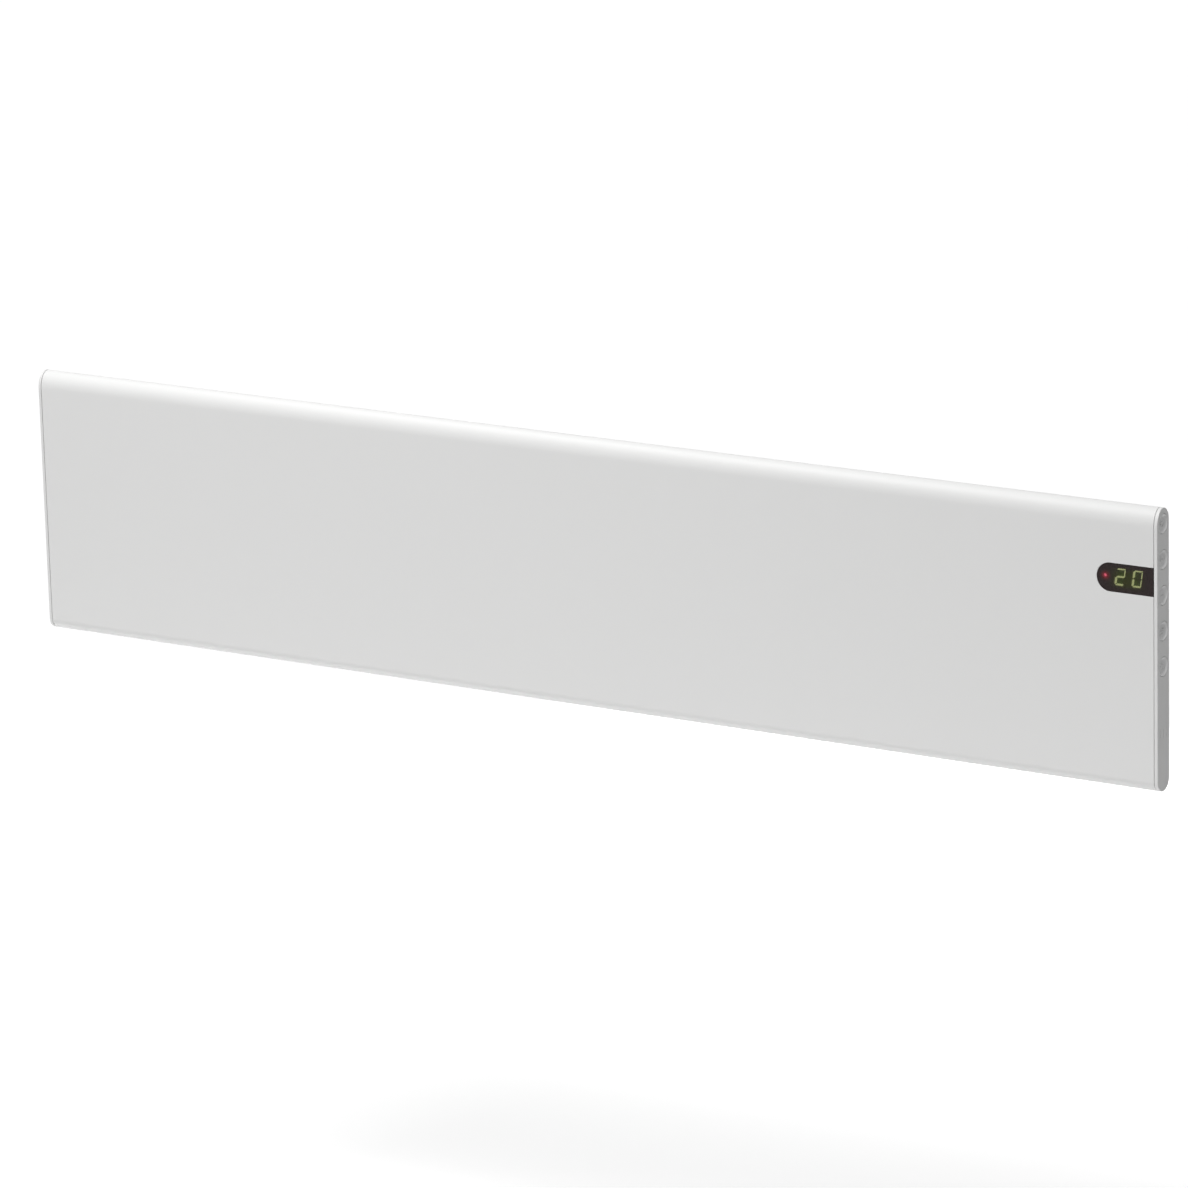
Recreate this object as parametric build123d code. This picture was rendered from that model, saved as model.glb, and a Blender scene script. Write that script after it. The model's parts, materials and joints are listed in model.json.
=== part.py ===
from build123d import *
import math
import os

# A long, low wall heater: a thin front panel with rounded top and bottom edges, a deeper
# casing behind it that holds the heating element, and a steel bracket on the wall.
# Millimetres. The wall is the plane Y = 0, the front of the heater looks along -Y, +X is the
# end with the display and the buttons, +Z is up. The origin is the middle of the bracket's
# four wall holes.

# ---- driving dimensions -------------------------------------------------------------------

# Panel and its end caps
panel_width = 1176.0
panel_height = 250.0
panel_depth = 22.0
top_curve_height = 16.0
wall_distance = 84.0
panel_sheet = 1.0
lip_height = 12.0
cap_plate = 3.0
cap_edge_radius = 0.7
seam_gap = 0.6
spigot_depth = 14.0
spigot_wall = 1.2
spigot_clearance = 0.3
cap_boss_wall = 1.6
cap_boss_floor = 1.0

# Casing behind the panel
tray_end_inset = 68.0
tray_edge_inset = 35.0
tray_depth = 32.0
casing_sheet = 1.0
tray_corner_radius = 8.0
tray_edge_radius = 3.0
flange_end_inset = 2.0
flange_edge_inset = 0.5
slot_length = 40.0
slot_width = 5.0
slot_rows = 3
slot_pitch_x = 48.0
slot_pitch_y = 8.0
bead_end_gap = 50.0
bead_height = 12.0
bead_depth = 1.5
bead_z = 44.0

# Screws and rivets
screw_radius = 1.9
screw_head_radius = 3.5
screw_head_height = 2.2
screw_head_rounding = 0.9
screw_grip = 6.5
screw_recess_depth = 1.2
screw_recess_width = 0.9
screw_recess_length = 3.6
small_screw_radius = 1.4
small_head_radius = 2.6
small_head_height = 1.5
hole_clearance = 0.1
casing_screw_count = 6
casing_screw_end_inset = 84.0
cap_screw_inset = 10.0
rivet_radius = 1.6
rivet_head_radius = 3.0
rivet_head_height = 1.0
rivet_head_rounding = 0.6
rivet_upset_height = 0.6

# Wall bracket
bracket_sheet = 2.0
upright_inset = 105.0
bolt_inset = 22.0
bolt_hole_radius = 3.0
upright_width = 40.0
upright_fold = 8.0
crossbar_height = 30.0
hook_width = 24.0
hook_drop = 28.0
hook_lip_height = 10.0
hook_reach = 4.0
hook_side_clearance = 2.0
hook_under_clearance = 2.0
foot_width = 30.0
foot_rise = 35.0
foot_height = 33.0
foot_gap = 2.0
lift_travel = 14.0
pad_height = 6.0
pad_clearance = 0.3

# Locking levers on the bracket's feet
lever_axis_drop = 11.0
lever_shaft_radius = 4.0
lever_fit = 0.08
lever_head_length = 18.0
lever_head_thickness = 4.0
lever_head_gap = 1.0
lever_head_rounding = 3.6
lever_length = 52.0
lever_width = 10.0
lever_thickness = 4.0
lever_hub_radius = 7.0
lever_gap = 0.3
lever_grip_height = 14.0
lever_grip_width = 3.0
lever_grip_depth = 6.0
lever_slot_clearance = 0.8
ring_radius = 6.0
ring_thickness = 1.0
ring_fit = 0.02

# Side push buttons
button_pitch = 31.3
button_top_inset = 14.0
button_edge_inset = 2.5
button_clearance = 0.3
button_edge_rounding = 0.3
button_dish_inset = 0.6
button_dish_depth = 1.3
button_flange_width = 1.0
button_flange_thickness = 1.2
button_flange_clearance = 0.4
button_stem_radius = 2.5
button_travel = 1.0
button_mark_depth = 0.4
button_mark_width = 0.8
button_mark_size = 5.6
button_mark_gap = 2.2
button_bar_pitch = 2.1
key_reach = 6.0
key_switch_size = 6.0
key_switch_height = 4.0
key_plunger_radius = 1.6
key_plunger_overlap = 1.2
key_plunger_clearance = 0.15
key_plunger_rest = 0.5
key_board_thickness = 1.6
key_board_width = 10.6
key_board_front_edge = 0.3
key_board_margin = 5.0
key_boss_radius = 2.5
key_boss_offset = 1.3
key_boss_floor = 2.0
key_screw_grip = 8.6

# Display at the right-hand end of the front
window_radius = 12.7
window_top_inset = 63.35
window_tip_inset = 57.75
window_clearance = 0.15
window_edge_width = 2.5
window_edge_thickness = 1.4
window_button_gap = 0.4
window_cap_clearance = 1.5
carrier_depth = 3.2
carrier_end_gap = 3.9
carrier_tip_inset = 1.5
display_board_thickness = 1.6
display_board_clearance = 0.8
digit_width = 9.0
digit_height = 14.8
digit_pitch = 16.3
digit_slant = 8.0
digit_bar = 1.0
digit_bar_gap = 0.45
digit_depth = 2.2
digit_pocket_margin = 0.6
digits_from_tip = 28.75
status_led_radius = 1.5
status_led_dome = 1.35
status_led_clearance = 0.3
status_led_from_tip = 6.5
status_led_rise = 0.4

# Room sensor behind its slots in the right-hand cap
vent_rise = 52.0
vent_slot_width = 0.8
vent_slot_height = 8.0
vent_slot_pitch = 5.2
vent_slot_count = 3
sensor_radius = 1.6
sensor_length = 7.0
sensor_rounding = 1.2
sensor_from_plate = 3.2
cradle_wall = 1.0
cradle_width = 2.0
cradle_spacing = 3.5
cradle_clearance = 0.2

# Heating element
element_end_gap = 35.0
element_y_gap = 23.0
element_rise = 55.0
element_hub_radius = 7.0
element_fin_rise = 26.0
element_fin_spread = 12.0
element_fin_thickness = 1.6
heating_rod_radius = 4.25
rod_bore_clearance = 0.05
rod_overhang = 14.0
rod_insulator_radius = 5.6
rod_insulator_length = 5.0
rod_pin_radius = 1.5
rod_pin_length = 9.0
support_gap = 6.0
support_sheet = 1.0
support_height = 76.0
support_width = 30.0
support_foot = 12.0
support_rivet_spacing = 38.0
bush_radius = 8.0
bush_clearance = 0.2
bush_lip = 1.5
bush_lip_clearance = 0.1
bush_length = 4.0
shield_sheet = 0.6
shield_front_gap = 4.0
shield_lip = 6.0
shield_leg_rise = 5.0
shield_left_inset = 20.0
shield_right_gap = 1.0
shield_rivet_count = 5
shield_rivet_inset = 62.0

# Overheat cut-out above the element
cutout_inset = 225.0
cutout_above_element = 60.0
cutout_radius = 8.0
cutout_height = 7.0
cutout_overhang = 1.0
cutout_blade_width = 6.3
cutout_blade_thickness = 0.8
cutout_blade_length = 9.0
cutout_blade_root = 1.5
cutout_blade_drop = 3.2
cutout_bracket_sheet = 1.0
cutout_bracket_width = 24.0
cutout_bracket_reach = 16.0
cutout_bracket_foot = 12.0

# Electronics in the right-hand end of the casing
electronics_width = 95.0
bulkhead_sheet = 0.8
bulkhead_foot = 8.0
bulkhead_edge_inset = 5.0
bulkhead_rivet_inset = 24.0
grommet_drop = 18.0
grommet_radius = 6.0
grommet_fit = 0.1
grommet_lip_radius = 6.9
grommet_lip = 1.5
grommet_bore = 4.0
board_from_bulkhead = 13.0
board_width = 76.0
board_height = 92.0
board_drop = 28.0
board_thickness = 1.6
standoff_height = 5.4
standoff_radius = 3.0
standoff_inset = 5.0
standoff_floor = 0.6
board_screw_grip = 3.6
component_rounding = 0.8
relay_size = (28.0, 16.0, 13.0)
relay_place = (12.0, 62.0)
transformer_size = (30.0, 20.0, 32.0)
transformer_place = (42.0, 40.0)
core_width = 18.0
core_height = 38.0
core_proud = 2.0
capacitor_size = (18.0, 12.0, 9.0)
capacitor_place = (12.0, 14.0)
terminal_size = (32.0, 14.0, 18.0)
terminal_rise = 18.0
terminal_poles = 3
terminal_wire_radius = 2.4
terminal_wire_depth = 7.0
terminal_wire_inset = 7.7
terminal_screw_radius = 2.0
terminal_screw_depth = 4.0
gland_end_inset = 28.0
gland_radius = 8.0
gland_bore = 3.75
gland_flange_radius = 11.0
gland_flange_height = 5.0
gland_flange_rounding = 1.5
gland_nut_height = 5.0
gland_nut_fit = 0.05
gland_reach = 12.0

# Wires
lead_radius = 1.3
lead_bend = 9.0
lead_small_bend = 6.0
lead_end_gap = 0.2
lead_wall_gap = 9.0
lead_pair_offset = 1.5
lead_start_inset = 30.0
lead_slope_start = 70.0
lead_slope_end = 30.0
lead_turn = 24.0
lead_drop = 40.0
cutout_lead_drop = 18.0
signal_radius = 2.2
signal_bend = 5.0
signal_start_inset = 10.0
signal_start_rise = 24.0
signal_end_inset = 16.0
signal_channel_gap = 8.0

# How far a cut runs past the face that it opens
past = 1.0

# Each button and the pin of the switch behind it, from the top
keys = ["power", "plus", "minus", "menu", "confirm"]

# ---- places worked out from them ----------------------------------------------------------

half_width = panel_width / 2
half_height = panel_height / 2
edge_radius = panel_depth / 2
top_curve_low = half_height - top_curve_height
panel_front = -wall_distance
panel_back = panel_front + panel_sheet
panel_rear = panel_front + panel_depth
lip_front = panel_rear - panel_sheet
panel_mid = panel_front + edge_radius
panel_end = half_width - cap_plate - seam_gap
cap_inner = half_width - cap_plate
spigot_end = cap_inner - spigot_depth
lip_edge = half_height - edge_radius - lip_height
lip_screw_z = lip_edge + lip_height / 2
flange_rear = panel_rear + casing_sheet
flange_half_width = panel_end - flange_end_inset
flange_half_height = half_height - edge_radius - flange_edge_inset
tray_half_width = half_width - tray_end_inset
tray_half_height = half_height - tray_edge_inset
casing_rear = panel_rear + tray_depth
tray_floor = casing_rear - casing_sheet
tray_bottom = -tray_half_height - casing_sheet
air_y = (flange_rear + tray_floor) / 2
casing_screw_span = 2 * (half_width - casing_screw_end_inset)
cap_screw_x = half_width - cap_screw_inset

bulkhead_x = tray_half_width - electronics_width
bulkhead_right = bulkhead_x + bulkhead_sheet
upright_x = bulkhead_x - upright_inset
hook_top = tray_half_height - hook_drop
hook_under = hook_top - bracket_sheet
bolt_z = hook_top - bolt_inset
bead_length = 2 * (upright_x - bead_end_gap)
hook_lip_rear = tray_floor - hook_reach
hook_lip_front = hook_lip_rear - bracket_sheet
hook_slot_bottom = hook_under - lift_travel - hook_under_clearance
foot_top = foot_rise - tray_half_height
foot_bottom = foot_top - foot_height
foot_front = casing_rear + foot_gap
foot_rear = foot_front + bracket_sheet
lever_axis_z = foot_top - lever_axis_drop
lever_head_rear = tray_floor - lever_head_gap
lever_head_front = lever_head_rear - lever_head_thickness
lever_arm_front = foot_rear + lever_gap
lever_arm_rear = lever_arm_front + lever_thickness
lever_slot_top = lever_axis_z + lever_head_length / 2 + lever_slot_clearance
lever_slot_bottom = lever_axis_z - lift_travel - lever_shaft_radius - lever_slot_clearance

button_radius = edge_radius - button_edge_inset
button_dish_radius = button_radius - button_dish_inset
button_flange_radius = button_radius + button_flange_width
button_zs = [half_height - button_top_inset - i * button_pitch for i in range(len(keys))]
button_flange_rear = cap_inner - button_flange_thickness
plunger_top = cap_inner - key_reach
key_switch_top = plunger_top - button_travel - key_plunger_rest
key_board_front = key_switch_top - key_switch_height
key_board_rear = key_board_front - key_board_thickness
key_board_y = panel_mid + (key_board_width - key_switch_size) / 2 - key_board_front_edge
key_boss_y = key_board_y + key_boss_offset
key_boss_zs = [(button_zs[0] + button_zs[1]) / 2, (button_zs[-2] + button_zs[-1]) / 2]

window_tip = half_width - window_tip_inset
window_x = window_tip + window_radius
window_z = half_height - window_top_inset
window_back = panel_back + window_edge_thickness
window_edge_right = button_flange_rear - button_travel - window_button_gap
display_half_height = window_radius + window_edge_width
display_low = window_z - display_half_height
display_high = window_z + display_half_height
carrier_left = window_tip - carrier_tip_inset
carrier_right = panel_end - carrier_end_gap
carrier_back = window_back + carrier_depth
display_board_back = carrier_back + display_board_thickness
digit_xs = [window_tip + digits_from_tip + side * digit_pitch / 2 for side in (-1, 1)]
digit_lean = math.tan(math.radians(digit_slant))
status_led_x = window_tip + status_led_from_tip
status_led_z = window_z + status_led_rise
vent_z = vent_rise - half_height

element_left = element_end_gap - tray_half_width
element_right = bulkhead_x - element_end_gap
element_length = element_right - element_left
element_y = tray_floor - element_y_gap
element_z = element_rise - tray_half_height
slot_columns = int((bulkhead_x + tray_half_width) / slot_pitch_x)
support_faces = [element_left - support_gap - support_sheet, element_right + support_gap]
shield_left = shield_left_inset - tray_half_width
shield_right = bulkhead_x - shield_right_gap
shield_web_front = panel_back + shield_front_gap
shield_web_back = shield_web_front + shield_sheet
shield_leg_z = tray_half_height + shield_leg_rise
cutout_x = bulkhead_x - cutout_inset
cutout_z = element_z + cutout_above_element
cutout_y = tray_floor - cutout_bracket_reach + cutout_radius - cutout_overhang
cutout_blade_z = cutout_z - cutout_blade_drop
grommet_z = tray_half_height - grommet_drop
lead_y = tray_floor - lead_wall_gap
board_left = bulkhead_x + board_from_bulkhead
board_right = board_left + board_width
board_top = tray_half_height - board_drop
board_bottom = board_top - board_height
board_back = tray_floor - standoff_height
board_front = board_back - board_thickness
terminal_bottom = terminal_rise - tray_half_height
gland_x = tray_half_width - gland_end_inset


# ---- plain shapes -------------------------------------------------------------------------


def block(x0, x1, y0, y1, z0, z1):
    """A box between two corners."""
    return Pos((x0 + x1) / 2, (y0 + y1) / 2, (z0 + z1) / 2) * Box(x1 - x0, y1 - y0, z1 - z0)


def rod_x(x0, x1, y, z, radius):
    """A round bar along X."""
    return Pos((x0 + x1) / 2, y, z) * Rot(0, 90, 0) * Cylinder(radius, x1 - x0)


def rod_y(y0, y1, x, z, radius):
    """A round bar along Y."""
    return Pos(x, (y0 + y1) / 2, z) * Rot(90, 0, 0) * Cylinder(radius, y1 - y0)


def rod_z(z0, z1, x, y, radius):
    """A round bar along Z."""
    return Pos(x, y, (z0 + z1) / 2) * Cylinder(radius, z1 - z0)


def panel_bar(x0, x1, inset):
    """A bar along X with the panel's section, drawn in by inset all round.

    Its edges are half round, but the front's curve at the top is a taller quarter ellipse.
    """
    radius = edge_radius - inset
    tall = top_curve_height - inset
    curve = EllipticalCenterArc((panel_mid, top_curve_low), radius, tall, start_angle=90, arc_size=90)
    top = CenterArc((panel_mid, half_height - edge_radius), radius, 0, 90)
    bottom = CenterArc((panel_mid, edge_radius - half_height), radius, 180, 180)
    outline = make_face([curve, top, bottom, Line(curve @ 1, bottom @ 0), Line(bottom @ 1, top @ 0)])
    return extrude(Plane.YZ.offset(x0) * outline, amount=x1 - x0)


def pill(y0, y1, grow, right):
    """The window's outline: round at the left, cut straight at the right, grown by grow."""
    radius = window_radius + grow
    round_end = rod_y(y0, y1, window_x, window_z, radius)
    return round_end + block(window_x, right, y0, y1, window_z - radius, window_z + radius)


def spread(low, high, count):
    """Evenly spaced values from low to high."""
    return [low + (high - low) * i / (count - 1) for i in range(count)]


def group(shapes):
    """Separate solids that share one node."""
    return Compound([solid for shape in shapes for solid in shape.solids()])


def cable(points, radius, bend):
    """A round wire through the points, with one bend radius for all its corners."""
    path = FilletPolyline(*points, radius=bend)
    return sweep(Plane(path @ 0, z_dir=path % 0) * Circle(radius), path=path)


def screw_y(x, z):
    """A pan-head screw driven towards the front, its head on the rear of the flange."""
    top = flange_rear + screw_head_height
    head = rod_y(flange_rear, top, x, z, screw_head_radius)
    head = fillet(head.edges().sort_by(Axis.Y)[-1], screw_head_rounding)
    screw = head + rod_y(flange_rear - screw_grip, flange_rear, x, z, screw_radius)
    floor = top - screw_recess_depth
    for half_x, half_z in (
        (screw_recess_length / 2, screw_recess_width / 2),
        (screw_recess_width / 2, screw_recess_length / 2),
    ):
        screw -= block(x - half_x, x + half_x, floor, top + past, z - half_z, z + half_z)
    return screw


def rivet_y(front, rear, x, z):
    """A rivet through the sheets between two Y planes, its finished head at the rear."""
    upset = rod_y(front - rivet_upset_height, front, x, z, rivet_head_radius)
    head = rod_y(rear, rear + rivet_head_height, x, z, rivet_head_radius)
    head = fillet(head.edges().sort_by(Axis.Y)[-1], rivet_head_rounding)
    return upset + rod_y(front, rear, x, z, rivet_radius) + head


def rivet_hole(front, rear, x, z):
    """The hole that a rivet passes through."""
    return rod_y(front - past, rear + past, x, z, rivet_radius + hole_clearance)


# ---- where screws and rivets go, as pairs of X and Z --------------------------------------


def casing_screw_places():
    """Along the panel's two lips."""
    xs = spread(-casing_screw_span / 2, casing_screw_span / 2, casing_screw_count)
    return [(x, side * lip_screw_z) for x in xs for side in (-1, 1)]


def cap_screw_places():
    """At the lips' four ends, where they also hold the end caps."""
    return [(end * cap_screw_x, side * lip_screw_z) for end in (-1, 1) for side in (-1, 1)]


def shield_rivet_places():
    """Along the two lips of the heat shield."""
    xs = spread(shield_left + shield_rivet_inset, shield_right - shield_rivet_inset, shield_rivet_count)
    z = shield_leg_z + shield_lip / 2
    return [(x, side * z) for x in xs for side in (-1, 1)]


def support_rivet_places():
    """Two in the foot of each support of the element."""
    left, right = support_faces
    xs = (left - support_foot / 2, right + support_sheet + support_foot / 2)
    return [(x, element_z + side * support_rivet_spacing / 2) for x in xs for side in (-1, 1)]


def cutout_rivet_places():
    """One in the foot of the cut-out's bracket."""
    return [(cutout_x, cutout_z + cutout_bracket_sheet + cutout_bracket_foot / 2)]


def bulkhead_rivet_places():
    """Two in the foot of the bulkhead."""
    x = bulkhead_right + bulkhead_foot / 2
    return [(x, side * (tray_half_height - bulkhead_rivet_inset)) for side in (-1, 1)]


def standoff_places():
    """The four corners of the power board."""
    xs = (board_left + standoff_inset, board_right - standoff_inset)
    zs = (board_bottom + standoff_inset, board_top - standoff_inset)
    return [(x, z) for x in xs for z in zs]


# ---- casing pieces ------------------------------------------------------------------------


def make_front_panel():
    """Bent sheet: flat front, round top and bottom, and a lip along each rear edge."""
    panel = panel_bar(-panel_end, panel_end, 0)
    panel -= panel_bar(-panel_end - past, panel_end + past, panel_sheet)
    open_rear = (lip_front - past, panel_rear + past, -lip_edge, lip_edge)
    panel -= block(-panel_end - past, panel_end + past, *open_rear)
    panel -= pill(panel_front - past, panel_back + past, 0, panel_end + past)
    for x, z in casing_screw_places() + cap_screw_places():
        panel -= rod_y(lip_front - past, panel_rear + past, x, z, screw_radius + hole_clearance)
    return panel


def rounded_tray(grow, front):
    """The casing's deep middle, its corners and rear edges rounded, grown by grow."""
    half_x = tray_half_width + grow
    half_z = tray_half_height + grow
    body = block(-half_x, half_x, front, tray_floor + grow, -half_z, half_z)
    body = fillet(body.edges().filter_by(Axis.Y), tray_corner_radius + grow)
    return fillet(body.faces().sort_by(Axis.Y)[-1].edges(), tray_edge_radius + grow)


def stiffening_bead(z, grow, rear):
    """A long rounded ridge pressed out of the casing's rear, grown by grow."""
    outline = SlotOverall(bead_length + 2 * grow, bead_height + 2 * grow)
    depth = rear - tray_floor + casing_sheet / 2
    return extrude(Plane.XZ.offset(-rear) * Pos(0, z) * outline, amount=depth)


def air_slots(wall_low):
    """The rows of air slots through the casing's top or bottom wall."""
    places = GridLocations(slot_pitch_x, slot_pitch_y, slot_columns, slot_rows)
    slots = Sketch() + [place * SlotOverall(slot_length, slot_width) for place in places]
    middle = (bulkhead_x - tray_half_width) / 2
    plane = Plane.XY.offset(wall_low - past) * Pos(middle, air_y)
    return extrude(plane * slots, amount=casing_sheet + 2 * past)


def make_rear_casing():
    """Pressed sheet: a flange on the panel's lips and a tray that holds the element."""
    half_x = flange_half_width
    half_z = flange_half_height
    casing = block(-half_x, half_x, panel_rear, flange_rear, -half_z, half_z)
    casing += rounded_tray(casing_sheet, panel_rear)
    for side in (-1, 1):
        casing += stiffening_bead(side * bead_z, casing_sheet, casing_rear + bead_depth)
    casing -= rounded_tray(0, panel_rear - past)
    for side in (-1, 1):
        casing -= stiffening_bead(side * bead_z, 0, tray_floor + bead_depth)
        x = side * upright_x
        half = hook_width / 2 + hook_side_clearance
        wall = (tray_floor - past, casing_rear + past)
        casing -= block(x - half, x + half, *wall, hook_slot_bottom, hook_top)
        half = lever_shaft_radius + lever_slot_clearance
        casing -= block(x - half, x + half, *wall, lever_slot_bottom, lever_slot_top)
    casing -= air_slots(tray_half_height)
    casing -= air_slots(tray_bottom)
    for x, z in casing_screw_places() + cap_screw_places():
        casing -= rod_y(panel_rear - past, flange_rear + past, x, z, screw_radius + hole_clearance)
    for x, z in shield_rivet_places():
        casing -= rivet_hole(panel_rear, flange_rear, x, z)
    for x, z in support_rivet_places() + cutout_rivet_places() + bulkhead_rivet_places():
        casing -= rivet_hole(tray_floor, casing_rear, x, z)
    hole = gland_radius + hole_clearance
    return casing - rod_z(tray_bottom - past, -tray_half_height + past, gland_x, air_y, hole)


def cap_blank():
    """The right-hand end cap without holes: a plate and a hollow spigot inside the panel."""
    plate = panel_bar(cap_inner, half_width, 0)
    plate = fillet(plate.faces().sort_by(Axis.X)[-1].edges(), cap_edge_radius)
    outer = panel_sheet + spigot_clearance
    spigot = panel_bar(spigot_end, cap_inner, outer)
    spigot -= panel_bar(spigot_end - past, cap_inner, outer + spigot_wall)
    cap = plate + spigot
    hole_end = flange_rear - screw_grip - cap_boss_floor
    boss_end = hole_end - cap_boss_floor
    boss_start = lip_front - spigot_clearance
    for side in (-1, 1):
        z = side * lip_screw_z
        cap += rod_y(boss_end, boss_start, cap_screw_x, z, screw_radius + cap_boss_wall)
        cap -= rod_y(hole_end, boss_start + past, cap_screw_x, z, screw_radius + hole_clearance)
    return cap


def sensor_cradle(z):
    """One of the two forks on the cap's inside that hold the room sensor."""
    tip = cap_inner - sensor_from_plate - sensor_radius
    half = sensor_radius + cradle_clearance
    outer = half + cradle_wall
    low = z - cradle_width / 2
    high = z + cradle_width / 2
    fork = block(tip, cap_inner, panel_mid - outer, panel_mid + outer, low, high)
    floor = cap_inner - sensor_from_plate + half
    return fork - block(tip - past, floor, panel_mid - half, panel_mid + half, low - past, high + past)


def make_right_end_cap():
    """The cap with the button holes, the sensor's slots and the bosses of the key board."""
    cap = cap_blank()
    recess = button_flange_radius + button_flange_clearance
    for z in button_zs:
        cap -= rod_x(cap_inner - past, half_width + past, panel_mid, z, button_radius + button_clearance)
        cap -= rod_x(spigot_end - past, cap_inner, panel_mid, z, recess)
    low = display_low - window_cap_clearance
    high = display_high + window_cap_clearance
    room = (panel_back, display_board_back + display_board_clearance)
    cap -= block(spigot_end - past, cap_inner, *room, low, high)
    slot = SlotOverall(vent_slot_height, vent_slot_width, rotation=90)
    reach = (vent_slot_count - 1) / 2 * vent_slot_pitch
    for y in spread(panel_mid - reach, panel_mid + reach, vent_slot_count):
        plane = Plane.YZ.offset(cap_inner - past) * Pos(y, vent_z)
        cap -= extrude(plane * slot, amount=cap_plate + 2 * past)
    hole = small_screw_radius + hole_clearance
    for z in key_boss_zs:
        cap += rod_x(key_board_front, cap_inner, key_boss_y, z, key_boss_radius)
        cap -= rod_x(key_board_front - past, cap_inner - key_boss_floor, key_boss_y, z, hole)
    for side in (-1, 1):
        cap += sensor_cradle(vent_z + side * cradle_spacing / 2)
    return cap


# ---- wall bracket and its levers ----------------------------------------------------------


def make_wall_bracket():
    """One welded piece: two uprights with a hook above and a foot below, and a crossbar."""
    half_z = crossbar_height / 2
    bracket = block(-upright_x, upright_x, -bracket_sheet, 0, -half_z, half_z)
    for side in (-1, 1):
        x = side * upright_x
        half = upright_width / 2
        low = foot_top - bracket_sheet
        bracket += block(x - half, x + half, -bracket_sheet, 0, low, hook_top)
        outer = side * half + x
        inner = outer - side * bracket_sheet
        fold = (min(inner, outer), max(inner, outer), -upright_fold, 0)
        bracket += block(*fold, low, hook_top)
        half = hook_width / 2
        bracket += block(x - half, x + half, hook_lip_front, -bracket_sheet / 2, hook_under, hook_top)
        lip_top = hook_top + hook_lip_height
        bracket += block(x - half, x + half, hook_lip_front, hook_lip_rear, hook_under, lip_top)
        half = foot_width / 2
        bracket += block(x - half, x + half, foot_front, -bracket_sheet / 2, low, foot_top)
        bracket += block(x - half, x + half, foot_front, foot_rear, foot_bottom, foot_top)
        hole = lever_shaft_radius + lever_fit
        bracket -= rod_y(foot_front - past, foot_rear + past, x, lever_axis_z, hole)
        for z in (-bolt_z, bolt_z):
            bracket -= rod_y(-bracket_sheet - past, past, x, z, bolt_hole_radius)
    return bracket


def make_bracket_pads():
    """Rubber pads on the feet, which keep the casing from rattling."""
    half = foot_width / 2
    front = casing_rear + pad_clearance
    top = foot_bottom + pad_height
    xs = (-upright_x, upright_x)
    return group([block(x - half, x + half, front, foot_front, foot_bottom, top) for x in xs])


def make_lock_lever(x):
    """A quarter-turn lever: its oblong head lies across the casing's slot as it hangs."""
    z = lever_axis_z
    half = lever_head_length / 2
    rise = lever_shaft_radius
    head = block(x - half, x + half, lever_head_front, lever_head_rear, z - rise, z + rise)
    head = fillet(head.edges().filter_by(Axis.Y), lever_head_rounding)
    lever = head + rod_y(lever_head_rear, lever_arm_front, x, z, lever_shaft_radius)
    lever += rod_y(lever_arm_front, lever_arm_rear, x, z, lever_hub_radius)
    half = lever_width / 2
    end_z = z - lever_length + half
    lever += block(x - half, x + half, lever_arm_front, lever_arm_rear, end_z, z)
    lever += rod_y(lever_arm_front, lever_arm_rear, x, end_z, half)
    half = lever_grip_width / 2
    grip_rear = lever_arm_rear + lever_grip_depth
    return lever + block(x - half, x + half, lever_arm_rear, grip_rear, end_z, end_z + lever_grip_height)


def make_lock_ring(x):
    """The ring that keeps the lever in its foot."""
    rear = foot_front - lever_gap
    front = rear - ring_thickness
    ring = rod_y(front, rear, x, lever_axis_z, ring_radius)
    return ring - rod_y(front - past, rear + past, x, lever_axis_z, lever_shaft_radius + ring_fit)


# ---- buttons ------------------------------------------------------------------------------


def button_mark(key, z):
    """The sunk mark of one button, as a solid to cut away."""
    wide = button_mark_width / 2
    half = button_mark_size / 2
    floor = half_width - button_dish_depth - button_mark_depth
    top = half_width + past
    flat = block(floor, top, panel_mid - half, panel_mid + half, z - wide, z + wide)
    upright = block(floor, top, panel_mid - wide, panel_mid + wide, z - half, z + half)
    hollow = rod_x(floor - past, top + past, panel_mid, z, half - button_mark_width)
    ring = rod_x(floor, top, panel_mid, z, half) - hollow
    gap = button_mark_gap / 2
    if key == "power":
        opening = block(floor - past, top + past, panel_mid - gap, panel_mid + gap, z, z + half + past)
        stroke = block(floor, top, panel_mid - wide, panel_mid + wide, z + wide, z + half + wide)
        return ring - opening + stroke
    if key == "plus":
        return flat + upright
    if key == "minus":
        return flat
    if key == "menu":
        return flat + Pos(0, 0, button_bar_pitch) * flat + Pos(0, 0, -button_bar_pitch) * flat
    return ring


def make_button(key, z):
    """A dished round button with a wide foot inside the cap and a stem to its switch."""
    body = rod_x(button_flange_rear, half_width, panel_mid, z, button_radius)
    body = fillet(body.edges().sort_by(Axis.X)[-1], button_edge_rounding)
    dish = (button_dish_radius**2 + button_dish_depth**2) / (2 * button_dish_depth)
    body -= Pos(half_width - button_dish_depth + dish, panel_mid, z) * Sphere(dish)
    body += rod_x(button_flange_rear, cap_inner, panel_mid, z, button_flange_radius)
    body += rod_x(plunger_top, button_flange_rear, panel_mid, z, button_stem_radius)
    return body - button_mark(key, z)


def make_plunger(z):
    """The moving pin of one key switch, against the stem of its button."""
    return rod_x(key_switch_top - key_plunger_overlap, plunger_top, panel_mid, z, key_plunger_radius)


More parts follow.
